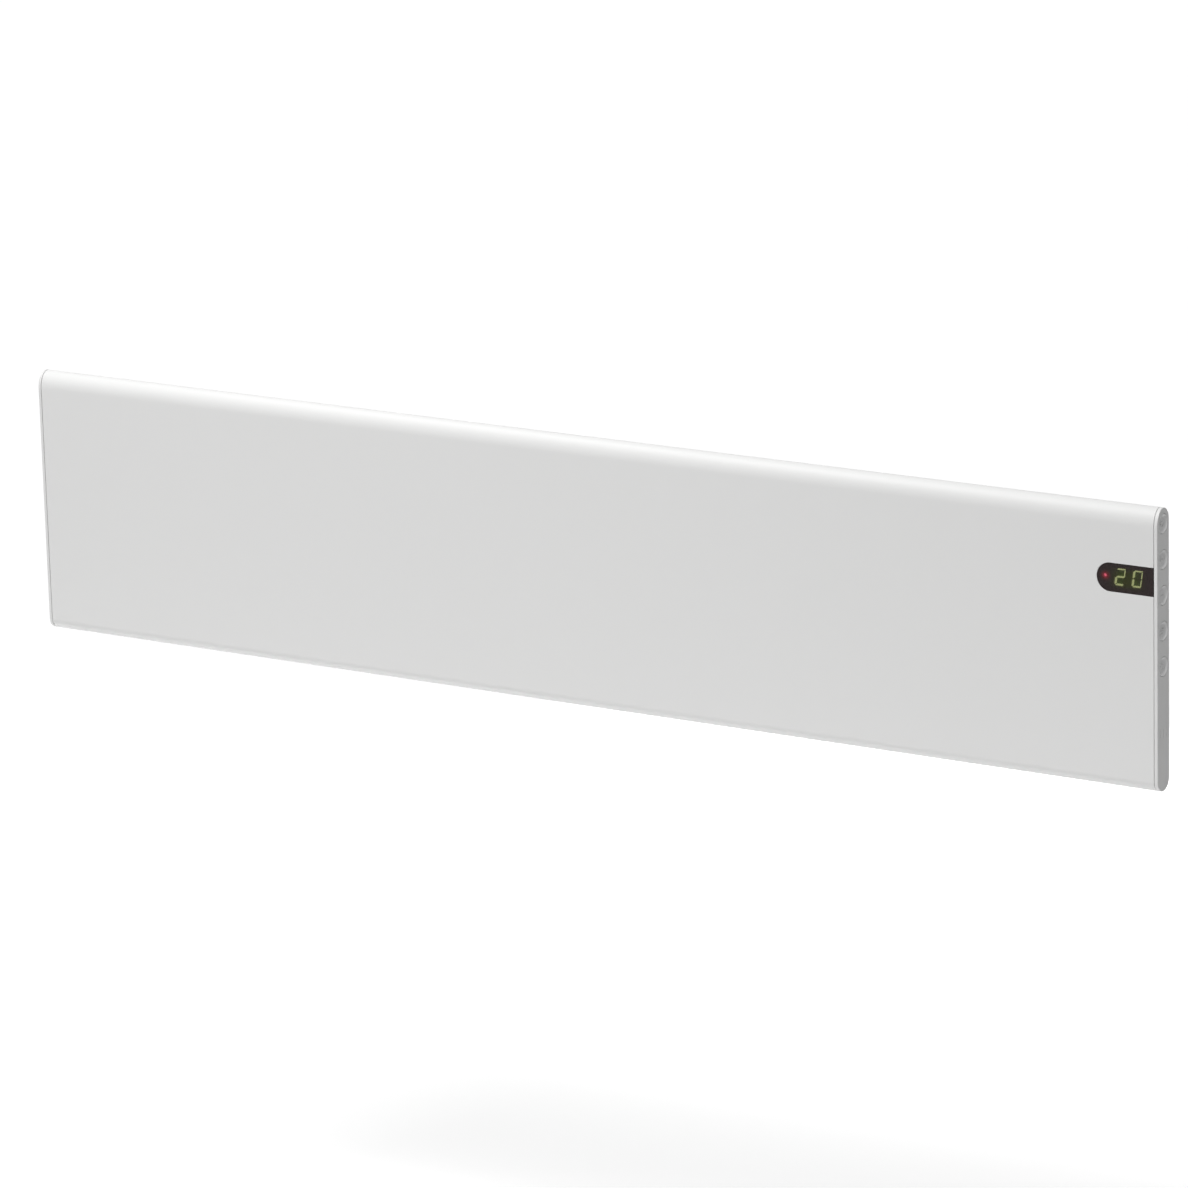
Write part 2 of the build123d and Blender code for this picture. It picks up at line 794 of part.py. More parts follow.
def make_key_switches():
    """A small switch behind each button, with a bore for its plunger."""
    switches = []
    half = key_switch_size / 2
    sides = (panel_mid - half, panel_mid + half)
    bore = key_plunger_radius + key_plunger_clearance
    bore_end = key_switch_top - key_plunger_overlap - button_travel - key_plunger_rest / 2
    for z in button_zs:
        body = block(key_board_front, key_switch_top, *sides, z - half, z + half)
        switches.append(body - rod_x(bore_end, key_switch_top + past, panel_mid, z, bore))
    return group(switches)


def make_key_board():
    """The narrow circuit board behind the buttons."""
    sides = (key_board_y - key_board_width / 2, key_board_y + key_board_width / 2)
    low = button_zs[-1] - key_board_margin
    high = button_zs[0] + key_board_margin
    board = block(key_board_rear, key_board_front, *sides, low, high)
    hole = small_screw_radius + hole_clearance
    for z in key_boss_zs:
        board -= rod_x(key_board_rear - past, key_board_front + past, key_boss_y, z, hole)
    return board


def make_key_board_screws():
    """The two screws that hold the key board on its bosses."""
    screws = []
    head_end = key_board_rear - small_head_height
    for z in key_boss_zs:
        head = rod_x(head_end, key_board_rear, key_boss_y, z, small_head_radius)
        tip = key_board_rear + key_screw_grip
        screws.append(head + rod_x(key_board_rear, tip, key_boss_y, z, small_screw_radius))
    return group(screws)


# ---- display ------------------------------------------------------------------------------


def make_display_window():
    """The dark lens: flush with the panel's front, with a wider edge behind the sheet."""
    lens = pill(panel_front, panel_back, -window_clearance, panel_end)
    return lens + pill(panel_back, window_back, window_edge_width, window_edge_right)


def digit_bars(letters, x):
    """Some of the seven bars of one slanted digit, centred on x."""
    half = digit_bar / 2
    right = digit_width / 2 - half
    top = digit_height / 2 - half
    flat_end = right - digit_bar_gap
    flat = [(-flat_end, 0), (half - flat_end, half), (flat_end - half, half)]
    flat += [(flat_end, 0), (flat_end - half, -half), (half - flat_end, -half)]
    low = digit_bar_gap
    high = top - digit_bar_gap
    upright = [(0, low), (half, low + half), (half, high - half)]
    upright += [(0, high), (-half, high - half), (-half, low + half)]
    places = {
        "a": (flat, 0, top),
        "b": (upright, right, 0),
        "c": (upright, right, -top),
        "d": (flat, 0, -top),
        "e": (upright, -right, -top),
        "f": (upright, -right, 0),
        "g": (flat, 0, 0),
    }
    bars = []
    for letter in letters:
        outline, across, up = places[letter]
        points = [(x + u + across + (w + up) * digit_lean, window_z + w + up) for u, w in outline]
        face = make_face(Polyline(*points, close=True))
        bars.append(extrude(Plane.XZ.offset(-carrier_back) * face, amount=digit_depth))
    return bars


def make_digit_bars_on():
    """The bars that are lit, which read 20."""
    return group(digit_bars("abged", digit_xs[0]) + digit_bars("abcdef", digit_xs[1]))


def make_digit_bars_off():
    """The bars that stay dark."""
    return group(digit_bars("cf", digit_xs[0]) + digit_bars("g", digit_xs[1]))


def make_display_carrier():
    """The black frame between lens and board, with a pocket for each digit and the lamp."""
    frame = block(carrier_left, carrier_right, window_back, carrier_back, display_low, display_high)
    half_w = digit_width / 2 + digit_pocket_margin
    half_h = digit_height / 2 + digit_pocket_margin
    lean = half_h * digit_lean
    for x in digit_xs:
        points = [(x - half_w - lean, window_z - half_h), (x + half_w - lean, window_z - half_h)]
        points += [(x + half_w + lean, window_z + half_h), (x - half_w + lean, window_z + half_h)]
        face = make_face(Polyline(*points, close=True))
        pocket = Plane.XZ.offset(-carrier_back - past) * face
        frame -= extrude(pocket, amount=carrier_depth + 2 * past)
    hole = status_led_radius + status_led_clearance
    return frame - rod_y(window_back - past, carrier_back + past, status_led_x, status_led_z, hole)


def make_status_led():
    """A small round lamp with a domed end."""
    tip = carrier_back - digit_depth
    lamp = rod_y(tip, carrier_back, status_led_x, status_led_z, status_led_radius)
    return fillet(lamp.edges().sort_by(Axis.Y)[0], status_led_dome)


def make_display_board():
    """The circuit board that carries the digits and the lamp."""
    return block(carrier_left, carrier_right, carrier_back, display_board_back, display_low, display_high)


def make_room_sensor():
    """A bead on the inside of the sensor's slots."""
    half = sensor_length / 2
    x = cap_inner - sensor_from_plate
    bead = rod_z(vent_z - half, vent_z + half, x, panel_mid, sensor_radius)
    return fillet(bead.edges().sort_by(Axis.Z)[-1], sensor_rounding)


# ---- heating element ----------------------------------------------------------------------


def make_heating_profile():
    """An aluminium bar with a round hub and four slanting fins, bored for the rod."""
    angle = math.degrees(math.atan2(element_fin_spread, element_fin_rise))
    length = 2 * math.hypot(element_fin_spread, element_fin_rise)
    section = Circle(element_hub_radius)
    section += [Rot(0, 0, turn) * Rectangle(element_fin_thickness, length) for turn in (angle, -angle)]
    section -= Circle(heating_rod_radius + rod_bore_clearance)
    place = Plane.YZ.offset(element_left) * Pos(element_y, element_z)
    return extrude(place * section, amount=element_length)


def make_heating_rod():
    """The sheathed rod through the profile, standing out at both ends."""
    left = element_left - rod_overhang
    right = element_right + rod_overhang
    return rod_x(left, right, element_y, element_z, heating_rod_radius)


def make_rod_terminals():
    """An insulator with a connecting pin on each end of the rod."""
    ends = []
    for end, way in ((element_left - rod_overhang, -1), (element_right + rod_overhang, 1)):
        tip = end + way * rod_insulator_length
        far = tip + way * rod_pin_length
        collar = rod_x(min(end, tip), max(end, tip), element_y, element_z, rod_insulator_radius)
        ends.append(collar + rod_x(min(tip, far), max(tip, far), element_y, element_z, rod_pin_radius))
    return group(ends)


def make_element_support(x0, way):
    """A sheet angle: a plate round the rod and a foot, turned to way, on the casing."""
    x1 = x0 + support_sheet
    low = element_z - support_height / 2
    high = element_z + support_height / 2
    front = element_y - support_width / 2
    plate = block(x0, x1, front, tray_floor, low, high)
    plate -= rod_x(x0 - past, x1 + past, element_y, element_z, bush_radius + bush_clearance)
    near = x0 if way < 0 else x1
    far = near + way * support_foot
    foot = block(min(near, far), max(near, far), tray_floor - support_sheet, tray_floor, low, high)
    support = plate + foot
    for x, z in support_rivet_places():
        support -= rivet_hole(tray_floor - support_sheet, tray_floor, x, z)
    return support


def make_element_bushes():
    """The ceramic bushes that carry the rod in its supports, with a lip on both sides."""
    bushes = []
    for x0 in support_faces:
        x1 = x0 + support_sheet
        low = (x0 + x1 - bush_length) / 2
        high = (x0 + x1 + bush_length) / 2
        bush = rod_x(low, high, element_y, element_z, bush_radius)
        lip = bush_radius + bush_lip
        bush += rod_x(low, x0 - bush_lip_clearance, element_y, element_z, lip)
        bush += rod_x(x1 + bush_lip_clearance, high, element_y, element_z, lip)
        bore = heating_rod_radius + rod_bore_clearance
        bushes.append(bush - rod_x(low - past, high + past, element_y, element_z, bore))
    return group(bushes)


def make_heat_shield():
    """A shallow channel between the element and the front sheet, with lips on the casing."""
    half = shield_leg_z
    shield = block(shield_left, shield_right, shield_web_front, shield_web_back, -half, half)
    for side in (-1, 1):
        inner = side * (shield_leg_z - shield_sheet)
        outer = side * shield_leg_z
        lip = side * (shield_leg_z + shield_lip)
        leg = (min(inner, outer), max(inner, outer))
        shield += block(shield_left, shield_right, shield_web_front, panel_rear, *leg)
        edge = (min(inner, lip), max(inner, lip))
        shield += block(shield_left, shield_right, panel_rear - shield_sheet, panel_rear, *edge)
    for x, z in shield_rivet_places():
        shield -= rivet_hole(panel_rear - shield_sheet, panel_rear, x, z)
    return shield


def make_shield_rivets():
    """The rivets of the heat shield's lips."""
    front = panel_rear - shield_sheet
    return group([rivet_y(front, flange_rear, x, z) for x, z in shield_rivet_places()])


def make_casing_rivets():
    """The rivets of the element's supports, the cut-out's bracket and the bulkhead."""
    rivets = []
    for places, sheet in (
        (support_rivet_places(), support_sheet),
        (cutout_rivet_places(), cutout_bracket_sheet),
        (bulkhead_rivet_places(), bulkhead_sheet),
    ):
        rivets += [rivet_y(tray_floor - sheet, casing_rear, x, z) for x, z in places]
    return group(rivets)


# ---- overheat cut-out ---------------------------------------------------------------------


def make_cutout_bracket():
    """A small sheet angle that holds the cut-out over the element."""
    low_x = cutout_x - cutout_bracket_width / 2
    high_x = cutout_x + cutout_bracket_width / 2
    front = tray_floor - cutout_bracket_reach
    top = cutout_z + cutout_bracket_sheet
    bracket = block(low_x, high_x, front, tray_floor, cutout_z, top)
    foot_front_y = tray_floor - cutout_bracket_sheet
    bracket += block(low_x, high_x, foot_front_y, tray_floor, cutout_z, top + cutout_bracket_foot)
    for x, z in cutout_rivet_places():
        bracket -= rivet_hole(foot_front_y, tray_floor, x, z)
    return bracket


def make_overheat_cutout():
    """A round bimetal switch hung under its bracket, with a flat blade at each side."""
    body = rod_z(cutout_z - cutout_height, cutout_z, cutout_x, cutout_y, cutout_radius)
    half_y = cutout_blade_width / 2
    half_z = cutout_blade_thickness / 2
    blade = (cutout_y - half_y, cutout_y + half_y, cutout_blade_z - half_z, cutout_blade_z + half_z)
    for side in (-1, 1):
        root = cutout_x + side * (cutout_radius - cutout_blade_root)
        tip = cutout_x + side * (cutout_radius + cutout_blade_length)
        body += block(min(root, tip), max(root, tip), *blade)
    return body


# ---- electronics --------------------------------------------------------------------------


def make_bulkhead():
    """The sheet wall between the hot part of the casing and the electronics."""
    half = tray_half_height - bulkhead_edge_inset
    wall = block(bulkhead_x, bulkhead_right, shield_web_back, tray_floor, -half, half)
    foot = (tray_floor - bulkhead_sheet, tray_floor, -half, half)
    wall += block(bulkhead_right, bulkhead_right + bulkhead_foot, *foot)
    hole = grommet_radius + grommet_fit
    wall -= rod_x(bulkhead_x - past, bulkhead_right + past, lead_y, grommet_z, hole)
    for x, z in bulkhead_rivet_places():
        wall -= rivet_hole(tray_floor - bulkhead_sheet, tray_floor, x, z)
    return wall


def make_wire_grommet():
    """A rubber ring in the bulkhead that the wires pass through."""
    left = bulkhead_x - grommet_lip
    right = bulkhead_right + grommet_lip
    ring = rod_x(bulkhead_x, bulkhead_right, lead_y, grommet_z, grommet_radius)
    ring += rod_x(left, bulkhead_x, lead_y, grommet_z, grommet_lip_radius)
    ring += rod_x(bulkhead_right, right, lead_y, grommet_z, grommet_lip_radius)
    return ring - rod_x(left - past, right + past, lead_y, grommet_z, grommet_bore)


def make_power_board():
    """The circuit board with the power supply and the relay, on its four pillars."""
    board = block(board_left, board_right, board_front, board_back, board_bottom, board_top)
    hole = small_screw_radius + hole_clearance
    for x, z in standoff_places():
        board -= rod_y(board_front - past, board_back + past, x, z, hole)
    return board


def make_board_standoffs():
    """The four pillars on the casing's rear wall."""
    pillars = []
    hole = small_screw_radius + hole_clearance
    hole_end = board_back + board_screw_grip + standoff_floor
    for x, z in standoff_places():
        pillar = rod_y(board_back, tray_floor, x, z, standoff_radius)
        pillars.append(pillar - rod_y(board_back - past, hole_end, x, z, hole))
    return group(pillars)


def make_board_screws():
    """The four screws of the power board."""
    screws = []
    for x, z in standoff_places():
        head = rod_y(board_front - small_head_height, board_front, x, z, small_head_radius)
        tip = board_back + board_screw_grip
        screws.append(head + rod_y(board_front, tip, x, z, small_screw_radius))
    return group(screws)


def board_component(size, place):
    """A boxed component on the power board: width, depth and height, and its lower corner."""
    width, depth, height = size
    x = board_left + place[0]
    z = board_bottom + place[1]
    body = block(x, x + width, board_front - depth, board_front, z, z + height)
    return fillet(body.faces().sort_by(Axis.Y)[0].edges(), component_rounding)


def make_transformer():
    """A coil between the legs of a laminated core."""
    width, depth, height = transformer_size
    x = board_left + transformer_place[0] + width / 2
    z = board_bottom + transformer_place[1] + height / 2
    front = board_front - depth - core_proud
    sides = (x - core_width / 2, x + core_width / 2)
    core = block(*sides, front, board_front, z - core_height / 2, z + core_height / 2)
    return board_component(transformer_size, transformer_place) + core


def make_terminal_block():
    """A screw terminal for the mains wires, with a wire hole and a screw hole a pole."""
    width, depth, height = terminal_size
    front = tray_floor - depth
    top = terminal_bottom + height
    body = block(board_left, board_left + width, front, tray_floor, terminal_bottom, top)
    pitch = width / terminal_poles
    wire_top = terminal_bottom + terminal_wire_depth
    wire_y = front + terminal_wire_inset
    screw_end = front + terminal_screw_depth
    screw_z = terminal_bottom + height / 2
    for x in spread(board_left + pitch / 2, board_left + width - pitch / 2, terminal_poles):
        body -= rod_z(terminal_bottom - past, wire_top, x, wire_y, terminal_wire_radius)
        body -= rod_y(front - past, screw_end, x, screw_z, terminal_screw_radius)
    return body


def make_cable_gland():
    """The inlet for the mains cord: a flange under the casing and a bored body through it."""
    low = tray_bottom - gland_flange_height
    high = tray_bottom + gland_reach
    flange = rod_z(low, tray_bottom, gland_x, air_y, gland_flange_radius)
    flange = fillet(flange.edges().sort_by(Axis.Z)[0], gland_flange_rounding)
    gland = flange + rod_z(tray_bottom, high, gland_x, air_y, gland_radius)
    return gland - rod_z(low - past, high + past, gland_x, air_y, gland_bore)


def make_gland_nut():
    """The six-sided nut on the inside of the gland."""
    nut = RegularPolygon(gland_flange_radius, 6) - Circle(gland_radius + gland_nut_fit)
    return extrude(Plane.XY.offset(-tray_half_height) * Pos(gland_x, air_y) * nut, amount=gland_nut_height)


# ---- wires --------------------------------------------------------------------------------


def make_live_lead():
    """From the power board through the bulkhead to the overheat cut-out."""
    tip = cutout_x + cutout_radius + cutout_blade_length
    z = grommet_z - lead_pair_offset
    points = [
        (board_left + lead_start_inset, lead_y, z),
        (tip + lead_slope_start, lead_y, z),
        (tip + lead_slope_end, cutout_y, cutout_blade_z),
        (tip + lead_end_gap, cutout_y, cutout_blade_z),
    ]
    return cable(points, lead_radius, lead_bend)


def make_cutout_lead():
    """From the overheat cut-out over the element to the near end of the rod."""
    tip = cutout_x - cutout_radius - cutout_blade_length
    low = cutout_z - cutout_lead_drop
    pin_tip = element_right + rod_overhang + rod_insulator_length + rod_pin_length
    points = [
        (tip - lead_end_gap, cutout_y, cutout_blade_z),
        (tip - lead_turn, cutout_y, cutout_blade_z),
        (tip - lead_turn, cutout_y, low),
        (pin_tip, cutout_y, low),
        (pin_tip - rod_pin_length / 2, element_y, element_z + rod_pin_radius + lead_radius),
    ]
    return cable(points, lead_radius, lead_small_bend)


def make_neutral_lead():
    """From the power board along the top of the casing to the far end of the rod."""
    z = grommet_z + lead_pair_offset
    pin_x = element_left - rod_overhang - rod_insulator_length - rod_pin_length / 2
    points = [
        (board_left + lead_start_inset, lead_y, z),
        (pin_x, lead_y, z),
        (pin_x, element_y, element_z + lead_drop),
        (pin_x, element_y, element_z + rod_pin_radius + lead_radius),
    ]
    return cable(points, lead_radius, lead_bend)


def make_signal_cable():
    """From the power board forward, then along the panel to the back of the display board."""
    start_x = board_right - signal_start_inset
    start_z = board_bottom + signal_start_rise
    end_x = carrier_left + signal_end_inset
    channel_y = display_board_back + signal_channel_gap
    points = [
        (start_x, board_front - lead_end_gap, start_z),
        (start_x, channel_y, start_z),
        (end_x, channel_y, window_z),
        (end_x, display_board_back + lead_end_gap, window_z),
    ]
    return cable(points, signal_radius, signal_bend)


# ---- the whole heater ---------------------------------------------------------------------

nodes = {
    "front_panel": make_front_panel(),
    "rear_casing": make_rear_casing(),
    "left_end_cap": mirror(cap_blank(), about=Plane.YZ),
    "right_end_cap": make_right_end_cap(),
    "casing_screws": group([screw_y(x, z) for x, z in casing_screw_places()]),
    "cap_screws": group([screw_y(x, z) for x, z in cap_screw_places()]),
    "wall_bracket": make_wall_bracket(),
    "bracket_pads": make_bracket_pads(),
    "left_lock_lever": make_lock_lever(-upright_x),
    "right_lock_lever": make_lock_lever(upright_x),
    "left_lock_ring": make_lock_ring(-upright_x),
    "right_lock_ring": make_lock_ring(upright_x),
    "key_switches": make_key_switches(),
    "key_board": make_key_board(),
    "key_board_screws": make_key_board_screws(),
    "display_window": make_display_window(),
    "display_carrier": make_display_carrier(),
    "display_board": make_display_board(),
    "digit_bars_on": make_digit_bars_on(),
    "digit_bars_off": make_digit_bars_off(),
    "status_led": make_status_led(),
    "room_sensor": make_room_sensor(),
    "heating_profile": make_heating_profile(),
    "heating_rod": make_heating_rod(),
    "rod_terminals": make_rod_terminals(),
    "left_element_support": make_element_support(support_faces[0], -1),
    "right_element_support": make_element_support(support_faces[1], 1),
    "element_bushes": make_element_bushes(),
    "heat_shield": make_heat_shield(),
    "shield_rivets": make_shield_rivets(),
    "casing_rivets": make_casing_rivets(),
    "overheat_cutout": make_overheat_cutout(),
    "cutout_bracket": make_cutout_bracket(),
    "bulkhead": make_bulkhead(),
    "wire_grommet": make_wire_grommet(),
    "power_board": make_power_board(),
    "board_standoffs": make_board_standoffs(),
    "board_screws": make_board_screws(),
    "relay": board_component(relay_size, relay_place),
    "transformer": make_transformer(),
    "filter_capacitor": board_component(capacitor_size, capacitor_place),
    "terminal_block": make_terminal_block(),
    "cable_gland": make_cable_gland(),
    "gland_nut": make_gland_nut(),
    "live_lead": make_live_lead(),
    "cutout_lead": make_cutout_lead(),
    "neutral_lead": make_neutral_lead(),
    "signal_cable": make_signal_cable(),
}
for key, z in zip(keys, button_zs):
    nodes[f"{key}_button"] = make_button(key, z)
    nodes[f"{key}_plunger"] = make_plunger(z)

os.makedirs("parts", exist_ok=True)
for name, shape in nodes.items():
    export_step(shape, f"parts/{name}.step")
print(len(nodes), "nodes written")
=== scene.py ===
# %% [markdown]
# # A wall heater, part by part
#
# The heater is a long thin panel of white sheet steel with rounded edges, an end cap at each
# end, a small dark display and five round push buttons at the right-hand end. Behind the
# panel sits a deeper casing with air slots, which hangs on a steel wall bracket.
#
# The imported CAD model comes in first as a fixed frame. Everything after it is in metres and
# in the same axes: +X is the end with the buttons, -Y is the front, +Z is up, and the wall is
# the plane Y = 0.

# %% Load the fixed frame
import json
import math

import bmesh
import bpy
from mathutils import Matrix, Vector

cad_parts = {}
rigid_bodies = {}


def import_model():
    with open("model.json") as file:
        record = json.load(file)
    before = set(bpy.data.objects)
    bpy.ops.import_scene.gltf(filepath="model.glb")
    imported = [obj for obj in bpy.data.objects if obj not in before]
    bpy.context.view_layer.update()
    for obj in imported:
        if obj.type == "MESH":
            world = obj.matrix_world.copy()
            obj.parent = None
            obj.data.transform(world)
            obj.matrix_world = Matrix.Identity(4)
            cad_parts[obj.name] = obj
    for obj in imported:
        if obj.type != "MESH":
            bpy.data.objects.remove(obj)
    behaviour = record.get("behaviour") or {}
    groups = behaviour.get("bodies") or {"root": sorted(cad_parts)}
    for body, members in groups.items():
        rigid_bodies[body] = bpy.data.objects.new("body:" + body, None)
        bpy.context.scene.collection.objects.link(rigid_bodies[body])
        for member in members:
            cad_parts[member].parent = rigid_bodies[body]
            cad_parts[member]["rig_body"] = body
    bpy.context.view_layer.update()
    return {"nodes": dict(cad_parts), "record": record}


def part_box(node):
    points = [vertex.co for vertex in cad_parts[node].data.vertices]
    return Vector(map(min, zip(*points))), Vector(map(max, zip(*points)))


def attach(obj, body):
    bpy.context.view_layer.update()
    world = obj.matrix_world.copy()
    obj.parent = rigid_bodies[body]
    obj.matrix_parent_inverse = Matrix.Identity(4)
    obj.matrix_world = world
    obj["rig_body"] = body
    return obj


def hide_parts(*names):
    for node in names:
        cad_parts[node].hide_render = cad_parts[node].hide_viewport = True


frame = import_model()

MM = 0.001
nodes = frame["nodes"]
slot_of = {part["node"]: part["material_slot"] for part in frame["record"]["subparts"]}

# %% [markdown]
# ## Nodes, written as sums
#
# A finish is a tree of nodes, and so is a Geometry Nodes modifier. Wiring them one by one
# hides the idea, so one class wraps an output socket: a sum or a product on it adds a Math
# node. A second class adds any other node from its type, its settings and its values.


# %% A socket that can be added and multiplied
class Socket:
    """One output of a node. Arithmetic on it adds Math nodes to the same tree."""

    def __init__(self, tree, socket):
        self.tree = tree
        self.socket = socket

    def math(self, operation, *values):
        settings = {"operation": operation}
        return self.tree.node("ShaderNodeMath", settings, dict(enumerate(values)))

    def __add__(self, other):
        return self.math("ADD", self, other)

    def __sub__(self, other):
        return self.math("SUBTRACT", self, other)

    def __rsub__(self, other):
        return self.math("SUBTRACT", other, self)

    def __mul__(self, other):
        return self.math("MULTIPLY", self, other)

    def __truediv__(self, other):
        return self.math("DIVIDE", self, other)

    def __neg__(self):
        return self.math("MULTIPLY", self, -1.0)

    __radd__ = __add__
    __rmul__ = __mul__

    def least(self, other):
        return self.math("MINIMUM", self, other)

    def above(self, limit):
        return self.math("GREATER_THAN", self, limit)

    def sine(self):
        return self.math("SINE", self)

    def fading(self):
        """1 where the value is nothing, and falling off smoothly as it grows."""
        return self.math("EXPONENT", -self)


# %% A tree that adds any node
class Tree:
    """A node tree whose node method adds one node and returns one of its outputs."""

    def __init__(self, tree):
        self.tree = tree

    def node(self, kind, settings=None, values=None, output=0):
        made = self.tree.nodes.new(kind)
        for name, setting in (settings or {}).items():
            if name == "stops":
                self.set_stops(made.color_ramp, setting)
            else:
                setattr(made, name, setting)
        for name, value in (values or {}).items():
            if isinstance(value, Socket):
                self.tree.links.new(value.socket, made.inputs[name])
            else:
                made.inputs[name].default_value = value
        return Socket(self, made.outputs[output]) if made.outputs else None

    @staticmethod
    def set_stops(ramp, stops):
        while len(ramp.elements) < len(stops):
            ramp.elements.new(1.0)
        for element, (place, colour) in zip(ramp.elements, stops):
            element.position = place
            element.color = (*colour, 1.0)


# %% [markdown]
# ## The finishes
#
# Every finish starts from the same few ideas: where a point is on the piece, a soft random
# pattern of a stated size, a mix of two colours, and a bump of a stated depth. Sizes are
# written in millimetres, because that is how one sees a grain.


# %% A material with its own small vocabulary
# A Mix node has three sockets called A and three called B, so its colours go by number.
MIX_FIRST, MIX_SECOND, MIX_COLOUR = 6, 7, 2


class Finish(Tree):
    """A material and the patterns that it is made of."""

    def __init__(self, name):
        self.material = bpy.data.materials.new(name)
        self.material.use_nodes = True
        super().__init__(self.material.node_tree)
        self.tree.nodes.clear()

    def place(self, stretch=(1.0, 1.0, 1.0)):
        """Where a point is on the piece, in metres, stretched along each axis."""
        point = self.node("ShaderNodeTexCoord", output="Object")
        return self.node("ShaderNodeMapping", None, {"Vector": point, "Scale": stretch})

    def axis(self, letter):
        """One coordinate of a point on the piece, in metres."""
        point = self.node("ShaderNodeTexCoord", output="Object")
        return self.node("ShaderNodeSeparateXYZ", None, {0: point}, letter)

    def noise(self, size, detail=2.0, stretch=(1.0, 1.0, 1.0)):
        """A soft random pattern from 0 to 1, its lumps about size millimetres across."""
        values = {"Vector": self.place(stretch), "Scale": 1.0 / (size * MM), "Detail": detail}
        return self.node("ShaderNodeTexNoise", None, values)

    def cells(self, size, output="Distance"):
        """Random cells about size millimetres across."""
        values = {"Vector": self.place(), "Scale": 1.0 / (size * MM)}
        return self.node("ShaderNodeTexVoronoi", None, values, output)

    def mix(self, share, first, second, blend="MIX"):
        """Two colours, the second one with this share, or added to the first by "ADD"."""
        settings = {"data_type": "RGBA", "blend_type": blend}
        values = {0: share, MIX_FIRST: rgba(first), MIX_SECOND: rgba(second)}
        return self.node("ShaderNodeMix", settings, values, MIX_COLOUR)

    def ramp(self, value, stops):
        return self.node("ShaderNodeValToRGB", {"stops": stops}, {0: value})

    def bump(self, height, depth):
        """The normal of a surface whose height runs from 0 to depth millimetres."""
        return self.node("ShaderNodeBump", None, {"Height": height, "Distance": depth * MM})

    def surface(self, **values):
        """Ends the material in one Principled surface; words_with_lines are socket names."""
        named = {}
        for key, value in values.items():
            named[key.replace("_", " ").title().replace("Ior", "IOR")] = rgba(value)
        shader = self.node("ShaderNodeBsdfPrincipled", None, named)
        self.node("ShaderNodeOutputMaterial", None, {0: shader})
        return self.material


def rgba(value):
    """A colour of three numbers gets its fourth."""
    return (*value, 1.0) if isinstance(value, tuple) and len(value) == 3 else value


def shade(colour, factor):
    """A colour made lighter or darker."""
    return tuple(min(1.0, part * factor) for part in colour)


# %% [markdown]
# ### White paint and white plastic
#
# The panel is powder coated. Such a coat flows together in the oven and keeps faint waves a
# millimetre or two long, called orange peel, so the bump is two soft noises and the
# roughness wanders a little. The end caps are moulded plastic, whose tool was etched with a
# much finer grain. Both stay below pure white, as real paint does.


# %% Coated sheet
def coated(name, colour, roughness=0.36, peel=0.010):
    """Powder coat on sheet metal."""
    finish = Finish(name)
    waves = finish.noise(2.4, 1.0) * 0.7 + finish.noise(0.8, 2.0) * 0.3
    cloud = finish.noise(140.0, 2.0)
    return finish.surface(
        base_color=finish.mix(cloud, shade(colour, 0.995), shade(colour, 1.005)),
        roughness=roughness + 0.05 * finish.noise(6.0, 3.0),
        normal=finish.bump(waves, peel),
    )


# %% Moulded plastic
def moulded(name, colour, roughness=0.4, grain=0.35, depth=0.006):
    """Plastic from an etched mould: a fine grain and a slightly uneven gloss."""
    finish = Finish(name)
    fine = finish.noise(grain, 3.0)
    return finish.surface(
        base_color=finish.mix(finish.noise(25.0), shade(colour, 0.985), shade(colour, 1.015)),
        roughness=roughness + 0.08 * finish.noise(1.2, 2.0),
        normal=finish.bump(fine, depth),
    )


# %% [markdown]
# ### Metals
#
# Zinc-plated screws keep turning marks, galvanised sheet grows flat crystals with edges that
# one can see, and an extruded bar has long fine lines from its die. A metal's look comes
# from its reflections, so each pattern drives the roughness and the bump more than the
# colour.


# %% Plated steel, galvanised sheet, extruded aluminium and the hot rod
def plated(name, colour):
    finish = Finish(name)
    marks = finish.noise(0.5, 3.0)
    return finish.surface(
        base_color=finish.mix(finish.noise(3.0), shade(colour, 0.9), shade(colour, 1.06)),
        metallic=1.0,
        roughness=0.24 + 0.2 * finish.noise(1.6, 4.0),
        normal=finish.bump(marks, 0.01),
    )


def galvanised(name, colour):
    finish = Finish(name)
    crystal = 9.0
    flake = finish.node("ShaderNodeSeparateColor", None, {0: finish.cells(crystal, "Color")})
    return finish.surface(
        base_color=finish.mix(flake, shade(colour, 0.84), shade(colour, 1.08)),
        metallic=0.9,
        roughness=0.34 + 0.2 * flake + 0.06 * finish.noise(1.0),
        normal=finish.bump(finish.cells(crystal) * 0.5 + finish.noise(0.6) * 0.5, 0.01),
    )


def extruded(name, colour):
    finish = Finish(name)
    along_x = (0.02, 1.0, 1.0)
    lines = finish.noise(0.5, 3.0, along_x)
    return finish.surface(
        base_color=finish.mix(lines, shade(colour, 0.92), shade(colour, 1.04)),
        metallic=1.0,
        roughness=0.3 + 0.16 * lines,
        normal=finish.bump(lines, 0.015),
    )


def heated_rod(name, colour):
    finish = Finish(name)
    cloud = finish.noise(30.0, 3.0)
    straw = (0.36, 0.27, 0.18)
    return finish.surface(
        base_color=finish.mix(cloud, colour, straw),
        metallic=0.85,
        roughness=0.38 + 0.2 * finish.noise(2.0, 3.0),
        normal=finish.bump(finish.noise(0.4), 0.01),
    )


# %% [markdown]
# ### Rubber, ceramic, wire sheaths and circuit boards
#
# These sit inside or behind the heater and are seen through slots or from the rear. Each
# still gets the mark of how it is made: fine pores in rubber, specks in fired clay, a soft
# sheen on a wire's sheath, and copper tracks under the green lacquer of a board.


